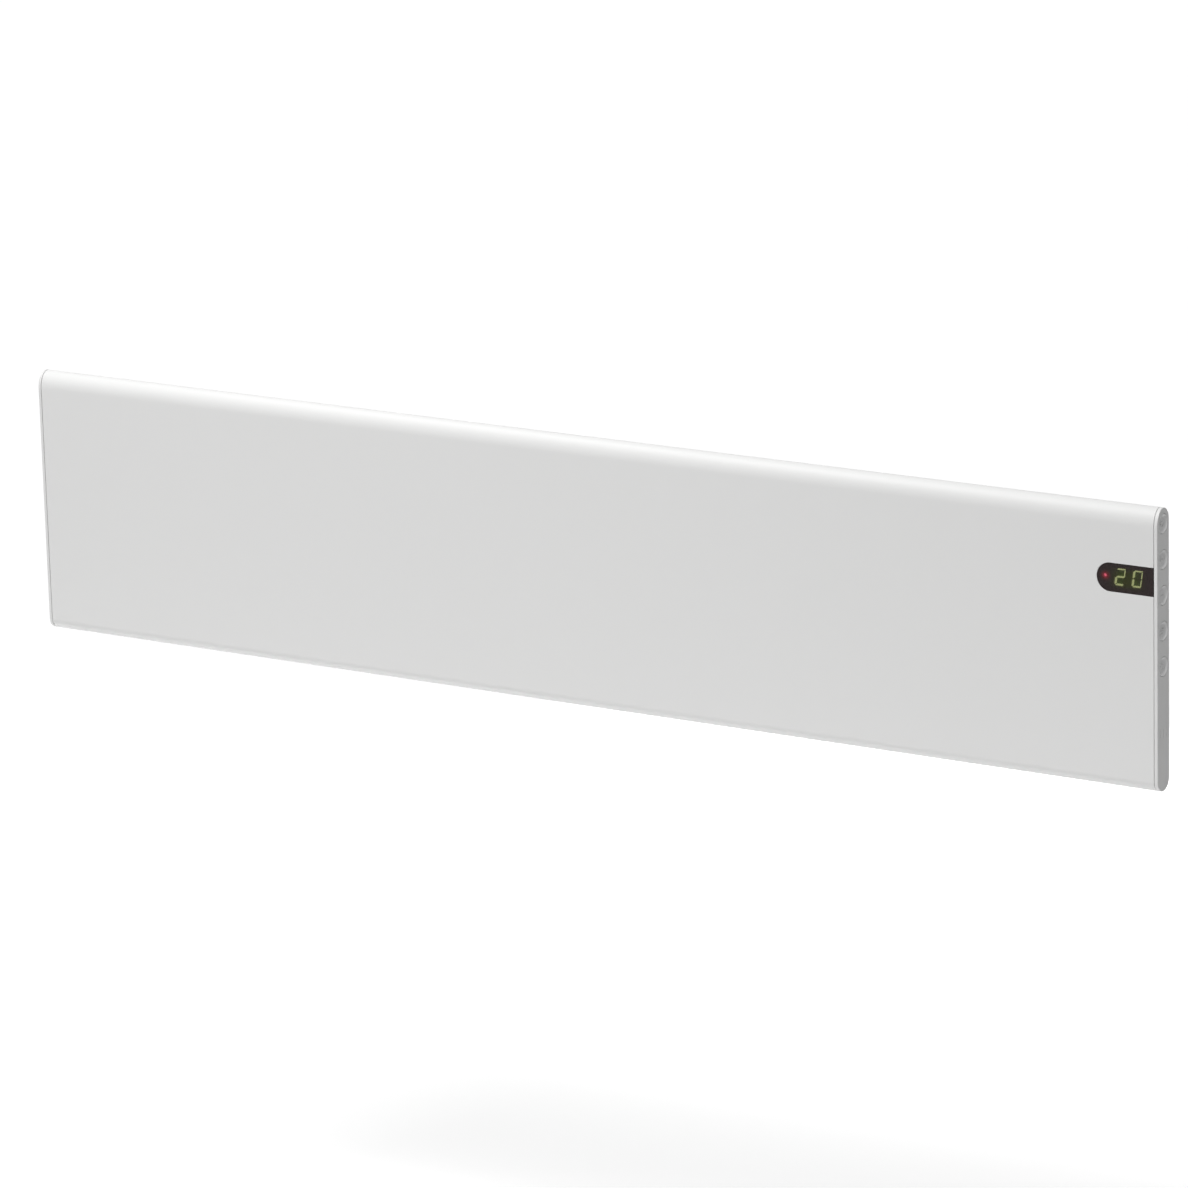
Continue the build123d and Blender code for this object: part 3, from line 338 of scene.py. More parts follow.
# %% Rubber, fired ceramic and sheathed wire
def rubber(name, colour):
    finish = Finish(name)
    pores = finish.noise(0.4, 4.0)
    return finish.surface(
        base_color=finish.mix(finish.noise(4.0), colour, shade(colour, 1.5)),
        roughness=0.62 + 0.2 * pores,
        normal=finish.bump(pores, 0.02),
    )


def fired(name, colour):
    finish = Finish(name)
    stops = [(0.0, shade(colour, 0.7)), (0.4, colour), (1.0, colour)]
    specks = finish.ramp(finish.noise(0.9, 3.0), stops)
    return finish.surface(
        base_color=specks,
        roughness=0.55 + 0.15 * finish.noise(1.0),
        normal=finish.bump(finish.noise(0.5, 4.0), 0.02),
    )


def sheathed(name, colour):
    finish = Finish(name)
    return finish.surface(
        base_color=finish.mix(finish.noise(12.0), shade(colour, 0.85), shade(colour, 1.15)),
        roughness=0.36 + 0.12 * finish.noise(2.0),
        normal=finish.bump(finish.noise(1.5, 2.0), 0.015),
    )


# %% A circuit board
def circuit(name, colour):
    """Green lacquer with lighter lines where copper tracks run below it."""
    finish = Finish(name)
    stripe_pitch = 2.6 * MM
    rung_pitch = 7.0 * MM
    track_limit = 0.95
    stripes = (finish.axis("X") * (2 * math.pi / stripe_pitch)).sine()
    rungs = (finish.axis("Z") * (2 * math.pi / rung_pitch)).sine()
    tracks = (stripes * 0.6 + rungs * 0.4 + finish.noise(9.0, 0.0)).above(track_limit)
    return finish.surface(
        base_color=finish.mix(tracks, colour, shade(colour, 1.9)),
        roughness=0.28 + 0.1 * finish.noise(2.0),
        normal=finish.bump(tracks * 0.8 + finish.noise(0.8) * 0.2, 0.03),
    )


# %% [markdown]
# ### The display
#
# The window is a smoked lens: nearly black, glossy, and just clear enough to show the lit
# bars of the digits and a small red lamp behind it. The light that would spread from both in
# a real lens is painted on: the lens's finish emits a faint green glow around the digits and a
# dark red one around the lamp, each worked out from the distance to their places. This
# painted glow makes the lens itself shine, though it is no lamp. The lens is a closed solid,
# so a ray from the digits passes its alpha twice.

# %% Where the display's lights are
lit_low, lit_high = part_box("digit_bars_on")
lamp_low, lamp_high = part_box("status_led")
lamp_x = (lamp_low.x + lamp_high.x) / 2
lamp_z = (lamp_low.z + lamp_high.z) / 2
digits_x = (lit_low.x + lit_high.x) / 2
digits_z = (lit_low.z + lit_high.z) / 2
print("digits round", digits_x, digits_z, "lamp at", lamp_x, lamp_z)

# %% Sizes and colours of the painted glow on the lens
# The painted red glow is centred where the deeper lamp is seen from the right and above.
glow_shift = 1.8 * MM
glow_rise = 0.7 * MM
red_half_width = 2.9 * MM
red_half_height = 2.6 * MM
green_past_digits = 1.0 * MM
green_half_width = (lit_high.x - lit_low.x) / 2 + green_past_digits
green_half_height = (lit_high.z - lit_low.z) / 2 + green_past_digits
no_light = (0.0, 0.0, 0.0)
# Colours of the painted glow that the lens emits around the lamp and over the digits.
painted_red_glow = (0.2, 0.002, 0.012)
painted_green_glow = (0.003, 0.014, 0.0)
lens_over_digits = (0.03, 0.018, 0.004)


# %% The smoked lens
def smoked(name, colour):
    """A dark lens with a painted round glow at the lamp and a painted squarish one over the digits.
    """
    finish = Finish(name)
    across = finish.axis("X")
    up = finish.axis("Z")
    lamp_across = (across - (lamp_x + glow_shift)) / red_half_width
    lamp_up = (up - (lamp_z + glow_rise)) / red_half_height
    painted_lamp_glow = (lamp_across * lamp_across + lamp_up * lamp_up).fading()
    digit_across = (across - digits_x) / green_half_width
    digit_up = (up - digits_z) / green_half_height
    across_squared = digit_across * digit_across
    up_squared = digit_up * digit_up
    painted_digit_glow = (across_squared * across_squared + up_squared * up_squared).fading()
    red = finish.mix(painted_lamp_glow, no_light, painted_red_glow)
    green = finish.mix(painted_digit_glow, no_light, painted_green_glow)
    plain = finish.mix(finish.noise(8.0), shade(colour, 0.9), colour)
    return finish.surface(
        base_color=finish.mix(painted_digit_glow, plain, lens_over_digits),
        roughness=0.07 + 0.03 * finish.noise(5.0),
        specular_ior_level=0.24,
        alpha=0.8,
        # Emission on the lens paints the glow of the lamp and the digits, though the lens is no
        # lamp.
        emission_color=finish.mix(1.0, red, green, "ADD"),
        emission_strength=1.0,
    )


# %% Lit bars, dark bars and the lamp
def glowing(name, colour, edge, strength):
    """A light guide whose light wanders a little between two colours."""
    finish = Finish(name)
    return finish.surface(
        base_color=shade(colour, 0.3),
        roughness=0.4 + 0.1 * finish.noise(1.0),
        emission_color=finish.mix(finish.noise(1.5), edge, colour),
        emission_strength=strength,
    )


# %% [markdown]
# Each material slot of the record now gets its finish. The colours stand next to each other
# here, so that they can be compared and tuned together.

# %% One finish for each material slot
finishes = {
    "painted_white": coated("painted_white", (0.82, 0.82, 0.815)),
    "white_plastic": moulded("white_plastic", (0.81, 0.81, 0.805)),
    "button_plastic": moulded("button_plastic", (0.8, 0.8, 0.8), 0.3, 0.5, 0.003),
    "bracket_steel": coated("bracket_steel", (0.74, 0.75, 0.76), 0.45, 0.014),
    "pad_rubber": rubber("pad_rubber", (0.03, 0.03, 0.03)),
    "lever_plastic": moulded("lever_plastic", (0.2, 0.21, 0.23), 0.45, 0.5, 0.012),
    "plated_steel": plated("plated_steel", (0.62, 0.63, 0.65)),
    "galvanised_sheet": galvanised("galvanised_sheet", (0.6, 0.62, 0.64)),
    "element_aluminium": extruded("element_aluminium", (0.72, 0.72, 0.73)),
    "rod_steel": heated_rod("rod_steel", (0.36, 0.35, 0.34)),
    "ceramic": fired("ceramic", (0.8, 0.77, 0.7)),
    "smoked_lens": smoked("smoked_lens", (0.03, 0.018, 0.018)),
    "black_plastic": moulded("black_plastic", (0.02, 0.02, 0.021), 0.5, 0.5, 0.012),
    "plunger_plastic": moulded("plunger_plastic", (0.1, 0.1, 0.11)),
    "circuit_board": circuit("circuit_board", (0.03, 0.1, 0.015)),
    "lit_bars": glowing("lit_bars", (0.62, 0.66, 0.33), (0.52, 0.56, 0.23), 11.0),
    "dark_bars": moulded("dark_bars", (0.03, 0.03, 0.028), 0.35),
    "red_led": glowing("red_led", (1.0, 0.2, 0.3), (0.9, 0.16, 0.24), 11.5),
    "sensor_epoxy": moulded("sensor_epoxy", (0.03, 0.03, 0.035), 0.2, 1.0, 0.01),
    "capacitor_case": moulded("capacitor_case", (0.62, 0.48, 0.06), 0.42),
    "terminal_plastic": moulded("terminal_plastic", (0.8, 0.8, 0.77), 0.45),
    "live_wire": sheathed("live_wire", (0.2, 0.08, 0.03)),
    "neutral_wire": sheathed("neutral_wire", (0.03, 0.1, 0.42)),
    "signal_wire": sheathed("signal_wire", (0.28, 0.29, 0.31)),
}
for name, node in nodes.items():
    node.data.materials.clear()
    node.data.materials.append(finishes[slot_of[name]])
print(len(finishes), "finishes on", len(nodes), "nodes")

# %% [markdown]
# ## Turning CAD triangles into smooth pieces
#
# A CAD node comes in as loose triangles, which show as small facets on round edges. The
# node itself stays as it is. A copy has its points merged and its flat triangles joined into
# whole faces. Then every edge that is sharper than 30 degrees gets a narrow bevel, so that it
# catches a line of light as a real edge does, and the large faces keep their flat shading
# through weighted normals.


# %% Helpers for meshes
weld = 0.002 * MM
flat_angle = math.radians(0.3)
sharp_angle = math.radians(30)


def joined_faces(node):
    """A new mesh of a node's surface: points merged and flat triangles joined."""
    bm = bmesh.new()
    bm.from_mesh(nodes[node].data)
    bmesh.ops.remove_doubles(bm, verts=bm.verts, dist=weld)
    bmesh.ops.dissolve_limit(bm, angle_limit=flat_angle, verts=bm.verts, edges=bm.edges)
    bm.verts.ensure_lookup_table()
    bm.verts.index_update()
    faces = [[vert.index for vert in face.verts] for face in bm.faces]
    mesh = bpy.data.meshes.new(node)
    mesh.from_pydata([vert.co[:] for vert in bm.verts], [], faces)
    bm.free()
    return mesh


def add_piece(name, mesh, slot):
    """A new object with one finish."""
    piece = bpy.data.objects.new(name, mesh)
    bpy.context.scene.collection.objects.link(piece)
    mesh.materials.clear()
    mesh.materials.append(finishes[slot])
    return piece


def settle(piece):
    """Replaces a piece's modifiers by the mesh that they make."""
    depsgraph = bpy.context.evaluated_depsgraph_get()
    mesh = bpy.data.meshes.new_from_object(piece.evaluated_get(depsgraph))
    piece.modifiers.clear()
    piece.data = mesh
    return piece


def soften(piece, bevel, segments=2):
    """Narrow bevels on the sharp edges, and smooth shading that keeps the flats flat."""
    piece.data.shade_smooth()
    piece.data.set_sharp_from_angle(angle=sharp_angle)
    if bevel:
        edge = piece.modifiers.new("edge", "BEVEL")
        edge.width = bevel * MM
        edge.segments = segments
        edge.limit_method = "ANGLE"
        edge.angle_limit = sharp_angle
        edge.use_clamp_overlap = True
    normals = piece.modifiers.new("normals", "WEIGHTED_NORMAL")
    normals.keep_sharp = True
    return settle(piece)


def finish_piece(piece, body, slot, *replaced):
    """Rides on a body and stands for CAD nodes, which it hides. Its slot argument is not used."""
    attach(piece, body)
    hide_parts(*replaced)
    print(piece.name, len(piece.data.polygons), "faces on", body)


# %% [markdown]
# ## The front panel
#
# One sheet of steel, bent round at the top and bottom, with a lip along each rear edge. Its
# shape follows a rule: one section, the same along the whole length. So it is a Geometry
# Nodes tree with named sizes. Arcs and lines are joined into the section's outline, which is
# then extruded along X. Short strips next to each arc hold the flat parts flat.

# %% Sizes of the panel
panel_length = 1168.8 * MM
panel_height = 250.0 * MM
panel_depth = 22.0 * MM
panel_mid_y = -73.0 * MM
top_curve = 16.0 * MM
lip_height = 12.0 * MM
panel_sheet = 1.0 * MM
panel_edge = 0.2
strip_width = 0.8 * MM
arc_steps = 32
outline_weld = 0.01 * MM


# %% The panel's tree
def named_inputs(group, inputs):
    """Gives a tree its named inputs, and returns its input node and socket identifiers."""
    names = {}
    for name, (kind, value) in inputs.items():
        socket = group.interface.new_socket(name, in_out="INPUT", socket_type=kind)
        if value is not None:
            socket.default_value = value
        names[name] = socket.identifier
    group.interface.new_socket("Geometry", in_out="OUTPUT", socket_type="NodeSocketGeometry")
    return names


def end_tree(tree, geometry, material):
    """Every tree ends by turning instances into a mesh and giving it its material."""
    whole = tree.node("GeometryNodeRealizeInstances", None, {0: geometry})
    finished = tree.node("GeometryNodeSetMaterial", None, {"Geometry": whole, "Material": material})
    tree.node("NodeGroupOutput", None, {0: finished})


def panel_tree():
    group = bpy.data.node_groups.new("Panel section", "GeometryNodeTree")
    number = "NodeSocketFloat"
    names = named_inputs(group, {
        "Length": (number, 1.0),
        "Height": (number, 0.2),
        "Depth": (number, 0.02),
        "Top Curve": (number, 0.02),
        "Lip": (number, 0.01),
        "Strip": (number, 0.001),
        "Steps": ("NodeSocketInt", 16),
        "Material": ("NodeSocketMaterial", None),
    })
    tree = Tree(group)
    given = group.nodes.new("NodeGroupInput")
    length, height, depth, curve, lip, strip, steps, material = (
        Socket(tree, given.outputs[i]) for i in range(8)
    )
    radius = depth / 2
    arc_z = height / 2 - radius
    curve_z = height / 2 - curve

    def point(x, y):
        return tree.node("ShaderNodeCombineXYZ", None, {0: x, 1: y})

    def arc(start, sweep, x, y, tall=1.0):
        values = {"Resolution": steps, "Radius": radius}
        values.update({"Start Angle": math.radians(start), "Sweep Angle": math.radians(sweep)})
        round_part = tree.node("GeometryNodeCurveArc", {"mode": "RADIUS"}, values)
        edges = tree.node("GeometryNodeCurveToMesh", None, {0: round_part})
        stretched = tree.node("ShaderNodeCombineXYZ", None, {0: 1.0, 1: tall, 2: 1.0})
        values = {"Geometry": edges, "Translation": point(x, y), "Scale": stretched}
        return tree.node("GeometryNodeTransform", None, values)

    def line(x, y0, y1):
        values = {"Count": 2, "Start Location": point(x, y0), "Offset": point(x, y1)}
        return tree.node("GeometryNodeMeshLine", {"mode": "END_POINTS"}, values)

    front = -radius
    parts = [
        arc(180, 180, 0.0, -arc_z),
        arc(0, 90, 0.0, arc_z),
        arc(90, 90, 0.0, curve_z, curve / radius),
        line(front, -arc_z, strip - arc_z),
        line(front, strip - arc_z, curve_z - strip),
        line(front, curve_z - strip, curve_z),
        line(radius, -arc_z, strip - arc_z),
        line(radius, strip - arc_z, lip - arc_z),
        line(radius, arc_z, arc_z - strip),
        line(radius, arc_z - strip, arc_z - lip),
    ]
    join = group.nodes.new("GeometryNodeJoinGeometry")
    for part in reversed(parts):
        group.links.new(part.socket, join.inputs[0])
    joined = {"Geometry": Socket(tree, join.outputs[0]), "Distance": outline_weld}
    outline = tree.node("GeometryNodeMergeByDistance", None, joined)
    straight = tree.node("ShaderNodeCombineXYZ", None, {2: 1.0})
    along = {"Mesh": outline, "Offset": straight, "Offset Scale": length}
    sheet = tree.node("GeometryNodeExtrudeMesh", {"mode": "EDGES"}, along)
    shift = tree.node("ShaderNodeCombineXYZ", None, {0: length / -2, 1: panel_mid_y})
    upright = (math.pi / 2, 0.0, math.pi / 2)
    values = {"Geometry": sheet, "Translation": shift, "Rotation": upright}
    end_tree(tree, tree.node("GeometryNodeTransform", None, values), material)
    return group, names


# %% A modifier from a tree and its sizes
def grow(piece, group, names, values):
    """Runs a tree on a piece, its inputs set by socket identifier, and keeps the mesh."""
    modifier = piece.modifiers.new(group.name, "NODES")
    modifier.node_group = group
    for name, value in values.items():
        modifier[names[name]] = value
    return settle(piece)


panel = add_piece("panel_sheet", bpy.data.meshes.new("panel_sheet"), "painted_white")
group, names = panel_tree()
grow(panel, group, names, {
    "Length": panel_length,
    "Height": panel_height,
    "Depth": panel_depth,
    "Top Curve": top_curve,
    "Lip": lip_height,
    "Strip": strip_width,
    "Steps": arc_steps,
    "Material": finishes["painted_white"],
})
corners = [Vector(corner) for corner in panel.bound_box]
print("panel skin", len(panel.data.vertices), "points, from", corners[0], "to", corners[6])

# %% [markdown]
# The tree gives a skin without thickness. Its faces have to look outwards first, because
# Solidify grows the sheet inwards from them. Then the window's opening is cut: round at its
# left end and open at the panel's right-hand edge.


# %% Face the skin outwards
def face_outwards(mesh, is_outside):
    """Turns all faces the same way, and flips them if the test face looks inwards."""
    bm = bmesh.new()
    bm.from_mesh(mesh)
    bmesh.ops.recalc_face_normals(bm, faces=bm.faces)
    largest = max(bm.faces, key=lambda face: face.calc_area())
    if not is_outside(largest):
        bmesh.ops.reverse_faces(bm, faces=bm.faces)
    bm.to_mesh(mesh)
    bm.free()


face_outwards(panel.data, lambda face: face.normal.y < 0)

# %% The window's opening
# The lens is larger than its opening by a lip all round, except at its straight end.
window_lip = 2.5 * MM
cutter_past_end = 5.0 * MM
cutter_front = -86.0 * MM
cutter_back = -81.0 * MM
lens_low, lens_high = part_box("display_window")
window_radius = (lens_high.z - lens_low.z) / 2 - window_lip
window_z = (lens_high.z + lens_low.z) / 2
window_x = lens_low.x + window_lip + window_radius


def pill_prism(name, radius, right, y0, y1, steps=48):
    """A prism with the window's outline: a half circle on the left, straight on the right."""
    ring = [(right, window_z - radius), (right, window_z + radius)]
    for i in range(steps + 1):
        turn = math.pi / 2 + math.pi * i / steps
        ring.append((window_x + radius * math.cos(turn), window_z + radius * math.sin(turn)))
    mesh = bpy.data.meshes.new(name)
    count = len(ring)
    points = [(x, y, z) for y in (y0, y1) for x, z in ring]
    faces = [list(range(count)), list(range(2 * count - 1, count - 1, -1))]
    faces += [[i, i + count, (i + 1) % count + count, (i + 1) % count] for i in range(count)]
    mesh.from_pydata(points, [], faces)
    bm = bmesh.new()
    bm.from_mesh(mesh)
    bmesh.ops.recalc_face_normals(bm, faces=bm.faces)
    bm.to_mesh(mesh)
    bm.free()
    return mesh


# %% The panel gets its thickness, its opening and its soft edges
cutter = bpy.data.objects.new("window_cutter", pill_prism(
    "window_cutter", window_radius, panel_length / 2 + cutter_past_end, cutter_front, cutter_back
))
bpy.context.scene.collection.objects.link(cutter)
wall = panel.modifiers.new("wall", "SOLIDIFY")
wall.thickness = panel_sheet
wall.offset = -1.0
wall.use_even_offset = True
hole = panel.modifiers.new("hole", "BOOLEAN")
hole.operation = "DIFFERENCE"
hole.solver = "EXACT"
hole.object = cutter
settle(panel)
bpy.data.objects.remove(cutter)
soften(panel, panel_edge)
finish_piece(panel, "heater", "painted_white", "front_panel")

# %% [markdown]
# ## Pieces that keep their CAD shape
#
# The end caps, the pressed casing, the bracket, the levers and some inner pieces have the
# right shape already. They only need whole faces, soft edges and smooth shading, so a list
# of names and bevel widths in millimetres is enough. Rounded pieces get no bevel.

# %% End caps, casing, bracket, levers, lens and element
kept_shapes = [
    ("left_end_cap", 0.12),
    ("right_end_cap", 0.12),
    ("rear_casing", 0.0),
    ("wall_bracket", 0.25),
    ("bracket_pads", 0.3),
    ("left_lock_lever", 0.3),
    ("right_lock_lever", 0.3),
    ("cable_gland", 0.0),
    ("gland_nut", 0.3),
    ("display_window", 0.12),
    ("heating_profile", 0.15),
    ("heat_shield", 0.0),
]
for node, bevel in kept_shapes:
    slot = slot_of[node]
    piece = soften(add_piece(node + "_shape", joined_faces(node), slot), bevel)
    finish_piece(piece, nodes[node]["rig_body"], slot, node)

# %% [markdown]
# ## The buttons
#
# In a low side light each button shows a thin bright arc at its lower rear edge. A shallow
# round dish would give a broad soft patch there instead. So the real dish is nearly flat in
# the middle, where the mark is sunk, and turns up more and more steeply towards its rim. The
# CAD's dish is a part of a ball with the same rim and depth. The copy of it is divided into
# small triangles, and every point of the dish moves along X to the steeper curve.


# %% The two dish curves
dish_depth = 1.3 * MM
dish_radius = 7.9 * MM
dish_floor = 5.4 * MM
dish_power = 1.7
dish_ball = (dish_radius**2 + dish_depth**2) / (2 * dish_depth)
button_face = 588.0 * MM


def ball_dish(radius):
    """The X of the CAD's dish at a radius."""
    return button_face - dish_depth + dish_ball - math.sqrt(dish_ball**2 - radius**2)


def steep_dish(radius):
    """The X of a dish that is flat in its middle and steepest at its rim."""
    wall = max(0.0, (radius - dish_floor) / (dish_radius - dish_floor))
    return button_face - dish_depth + dish_depth * min(1.0, wall) ** dish_power


# %% Move each button's dish to the steeper curve
def steepen(mesh, middle_z, steps=5, longest=0.45 * MM, near=0.01 * MM):
    """Divides the dish into small triangles and moves its points to the steeper curve.

    Two layers mark the points of the dish and of its rim. A new point gets the mean of its
    neighbours' marks, so one between a rim point and another falls below 1.
    """
    bm = bmesh.new()
    bm.from_mesh(mesh)
    dish = bm.verts.layers.float.new("dish")
    rim = bm.verts.layers.float.new("rim")

    def radius(vert):
        return math.hypot(vert.co.y - panel_mid_y, vert.co.z - middle_z)

    for vert in bm.verts:
        r = radius(vert)
        if r < dish_radius + near and abs(vert.co.x - ball_dish(min(r, dish_radius))) < near:
            vert[dish] = 1.0
            vert[rim] = 1.0 if r > dish_radius - near else 0.0
    bmesh.ops.triangulate(bm, faces=bm.faces)
    for _ in range(steps):
        inside = [edge for edge in bm.edges if all(vert[dish] == 1.0 for vert in edge.verts)]
        long = [edge for edge in inside if edge.calc_length() > longest]
        bmesh.ops.subdivide_edges(bm, edges=long, cuts=1)
        bmesh.ops.triangulate(bm, faces=bm.faces)
        for vert in bm.verts:
            if vert[dish] == 1.0:
                vert[rim] = 1.0 if vert[rim] == 1.0 else 0.0
                if vert[rim]:
                    stretch = dish_radius / radius(vert)
                    vert.co.y = panel_mid_y + (vert.co.y - panel_mid_y) * stretch
                    vert.co.z = middle_z + (vert.co.z - middle_z) * stretch
                vert.co.x = ball_dish(min(radius(vert), dish_radius))
    moved = [vert for vert in bm.verts if vert[dish] == 1.0]
    for vert in moved:
        vert.co.x = steep_dish(radius(vert))
    count = len(moved)
    for layer in ("rim", "dish"):
        bm.verts.layers.float.remove(bm.verts.layers.float[layer])
    bm.to_mesh(mesh)
    bm.free()
    # Dividing can leave a small face twice. This removes the second one.
    mesh.validate()
    return count


for key in ("power", "plus", "minus", "menu", "confirm"):
    node = key + "_button"
    low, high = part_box(node)
    mesh = joined_faces(node)
    print(node, steepen(mesh, (low.z + high.z) / 2), "points in the dish")
    piece = soften(add_piece(node + "_shape", mesh, slot_of[node]), 0.0)
    finish_piece(piece, nodes[node]["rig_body"], slot_of[node], node)

# %% [markdown]
# ## Screws and rivets
#
# The casing is held by twelve screws, four more hold the end caps, and rivets hold the sheet
# parts inside. One screw and one rivet are turned like pieces on a lathe. A Geometry Nodes
# tree then sets one on each place and turns each screw by its own random angle, as a hand
# leaves them.


# %% Where the CAD has them
def boxes_of(node):
    """The lowest and highest corner of each separate solid of a node, from left to right."""
    bm = bmesh.new()
    bm.from_mesh(nodes[node].data)
    bmesh.ops.remove_doubles(bm, verts=bm.verts, dist=weld)
    left = set(bm.verts)
    found = []
    while left:
        todo = [left.pop()]
        points = []
        while todo:
            vert = todo.pop()
            points.append(vert.co.copy())
            for edge in vert.link_edges:
                other = edge.other_vert(vert)
                if other in left:
                    left.remove(other)
                    todo.append(other)
        low = Vector(min(p[i] for p in points) for i in range(3))
        high = Vector(max(p[i] for p in points) for i in range(3))
        found.append((low, high))
    bm.free()
    return sorted(found, key=lambda box: (round(box[0].x, 5), round(box[0].z, 5)))


# %% A turned shape along Y
def turned(name, profile, steps=40, close=0.001 * MM):
    """A closed shape turned about Y. The profile is a list of radius and height."""
    mesh = bpy.data.meshes.new(name)
    bm = bmesh.new()
    verts = [bm.verts.new((radius * MM, height * MM, 0.0)) for radius, height in profile]
    edges = [bm.edges.new(pair) for pair in zip(verts, verts[1:])]
    about_y = {"cent": (0, 0, 0), "axis": (0, 1, 0), "angle": 2 * math.pi}
    bmesh.ops.spin(bm, geom=verts + edges, steps=steps, use_merge=True, **about_y)
    bmesh.ops.remove_doubles(bm, verts=bm.verts, dist=close)
    bmesh.ops.recalc_face_normals(bm, faces=bm.faces)
    bm.to_mesh(mesh)
    bm.free()
    return mesh


# %% Sizes of the screw and the rivet, in millimetres
screw_head_radius = 3.5
screw_head_height = 2.2
screw_head_rounding = 0.9
screw_radius = 1.9
screw_length = 6.5
screw_tip_radius = 1.5
screw_tip_taper = 0.6
recess_arm_length = 3.6
recess_arm_width = 0.9
recess_floor = 1.0
recess_top = 3.0
recess_narrowing = 0.45
screw_edge = 0.06
rivet_head_radius = 3.0
rivet_head_height = 1.0
rivet_head_rounding = 0.6
rivet_radius = 1.6
rivet_grip = 2.0
rivet_spread_height = 0.6
rivet_dimple_radius = 0.8
rivet_dimple_floor_radius = 0.7
rivet_dimple_floor = 0.6
rivet_edge = 0.05


# %% The screw, with its cross recess
def quarter(radius, height, rounding, steps=6):
    """Points of a rounded corner that ends at radius and height."""
    turns = [math.pi / 2 * i / steps for i in range(steps + 1)]
    return [
        (radius - rounding + rounding * math.cos(t), height - rounding + rounding * math.sin(t))
        for t in turns
    ]


def recess_arm(width, length):
    """A block for one arm of the recess, narrower at its floor than at its top."""
    mesh = bpy.data.meshes.new("recess")
    bm = bmesh.new()
    bmesh.ops.create_cube(bm, size=1.0)
    for vert in bm.verts:
        is_top = vert.co.y > 0
        share = 1.0 if is_top else recess_narrowing
        height = recess_top if is_top else recess_floor
        corner = (vert.co.x * width * share, height, vert.co.z * length * share)
        vert.co = Vector(corner) * MM
    bmesh.ops.recalc_face_normals(bm, faces=bm.faces)
    bm.to_mesh(mesh)
    bm.free()
    return mesh


def screw_piece(finish):
    """A screw whose head stands on the sheet at Y = 0 and looks towards +Y."""
    profile = [
        (0.0, -screw_length),
        (screw_tip_radius, -screw_length),
        (screw_radius, screw_tip_taper - screw_length),
        (screw_radius, 0.0),
        (screw_head_radius, 0.0),
        *quarter(screw_head_radius, screw_head_height, screw_head_rounding),
        (0.0, screw_head_height),
    ]
    screw = add_piece("screw", turned("screw", profile), finish)
    arms = ((recess_arm_width, recess_arm_length), (recess_arm_length, recess_arm_width))
    for width, length in arms:
        tool = bpy.data.objects.new("recess", recess_arm(width, length))
        bpy.context.scene.collection.objects.link(tool)
        cut = screw.modifiers.new("recess", "BOOLEAN")
        cut.solver = "EXACT"
        cut.object = tool
        settle(screw)
        bpy.data.objects.remove(tool)
    return soften(screw, screw_edge)


# %% The rivet
def rivet_piece(finish):
    """A rivet: its finished head at +Y, the gripped sheets, and the spread end."""
    spread_end = -rivet_grip - rivet_spread_height
    profile = [
        (0.0, spread_end),
        (rivet_head_radius, spread_end),
        (rivet_head_radius, -rivet_grip),
        (rivet_radius, -rivet_grip),
        (rivet_radius, 0.0),
        (rivet_head_radius, 0.0),
        *quarter(rivet_head_radius, rivet_head_height, rivet_head_rounding),
        (rivet_dimple_radius, rivet_head_height),
        (rivet_dimple_floor_radius, rivet_dimple_floor),
        (0.0, rivet_dimple_floor),
    ]
    return soften(add_piece("rivet", turned("rivet", profile), finish), rivet_edge)


# %% The tree that sets a fastener on each place
def fastener_tree():
    group = bpy.data.node_groups.new("Set fasteners", "GeometryNodeTree")
    names = named_inputs(group, {
        "Places": ("NodeSocketGeometry", None),
        "Fastener": ("NodeSocketObject", None),
        "Turn": ("NodeSocketFloat", math.pi),
        "Seed": ("NodeSocketInt", 1),
        "Material": ("NodeSocketMaterial", None),
    })
    tree = Tree(group)
    given = group.nodes.new("NodeGroupInput")
    places, fastener, turn, seed, material = (Socket(tree, given.outputs[i]) for i in range(5))
    shape = tree.node("GeometryNodeObjectInfo", None, {"Object": fastener}, "Geometry")
    most = tree.node("ShaderNodeCombineXYZ", None, {1: turn})
    values = {0: (0.0, 0.0, 0.0), 1: most, "Seed": seed}
    random = tree.node("FunctionNodeRandomValue", {"data_type": "FLOAT_VECTOR"}, values)
    angle = tree.node("FunctionNodeEulerToRotation", None, {0: random})
    values = {"Points": places, "Instance": shape, "Rotation": angle}
    end_tree(tree, tree.node("GeometryNodeInstanceOnPoints", None, values), material)
    return group, names


fastener_group, fastener_names = fastener_tree()


def set_fasteners(name, node, prototype, head_height, turn, seed):
    """One prototype on every place of a node, its head ending where the CAD's head ends."""
    slot = slot_of[node]
    mesh = bpy.data.meshes.new(name)
    places = [
        ((low.x + high.x) / 2, high.y - head_height * MM, (low.z + high.z) / 2)
        for low, high in boxes_of(node)
    ]
    mesh.from_pydata(places, [], [])
    piece = add_piece(name, mesh, slot)
    grow(piece, fastener_group, fastener_names, {
        "Fastener": prototype,
        "Turn": turn,
        "Seed": seed,
        "Material": finishes[slot],
    })
    finish_piece(piece, nodes[node]["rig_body"], slot, node)


# %% Set them
screw = screw_piece("plated_steel")
rivet = rivet_piece("plated_steel")
# Name, CAD node, shape, height of the head, largest turn and random seed.
for name, node, prototype, head_height, turn, seed in (
    ("casing_screw_set", "casing_screws", screw, screw_head_height, math.pi, 3),
    ("cap_screw_set", "cap_screws", screw, screw_head_height, math.pi, 8),
    ("casing_rivet_set", "casing_rivets", rivet, rivet_head_height, 0.0, 5),
):
    set_fasteners(name, node, prototype, head_height, turn, seed)
for prototype in (screw, rivet):
    bpy.data.objects.remove(prototype)

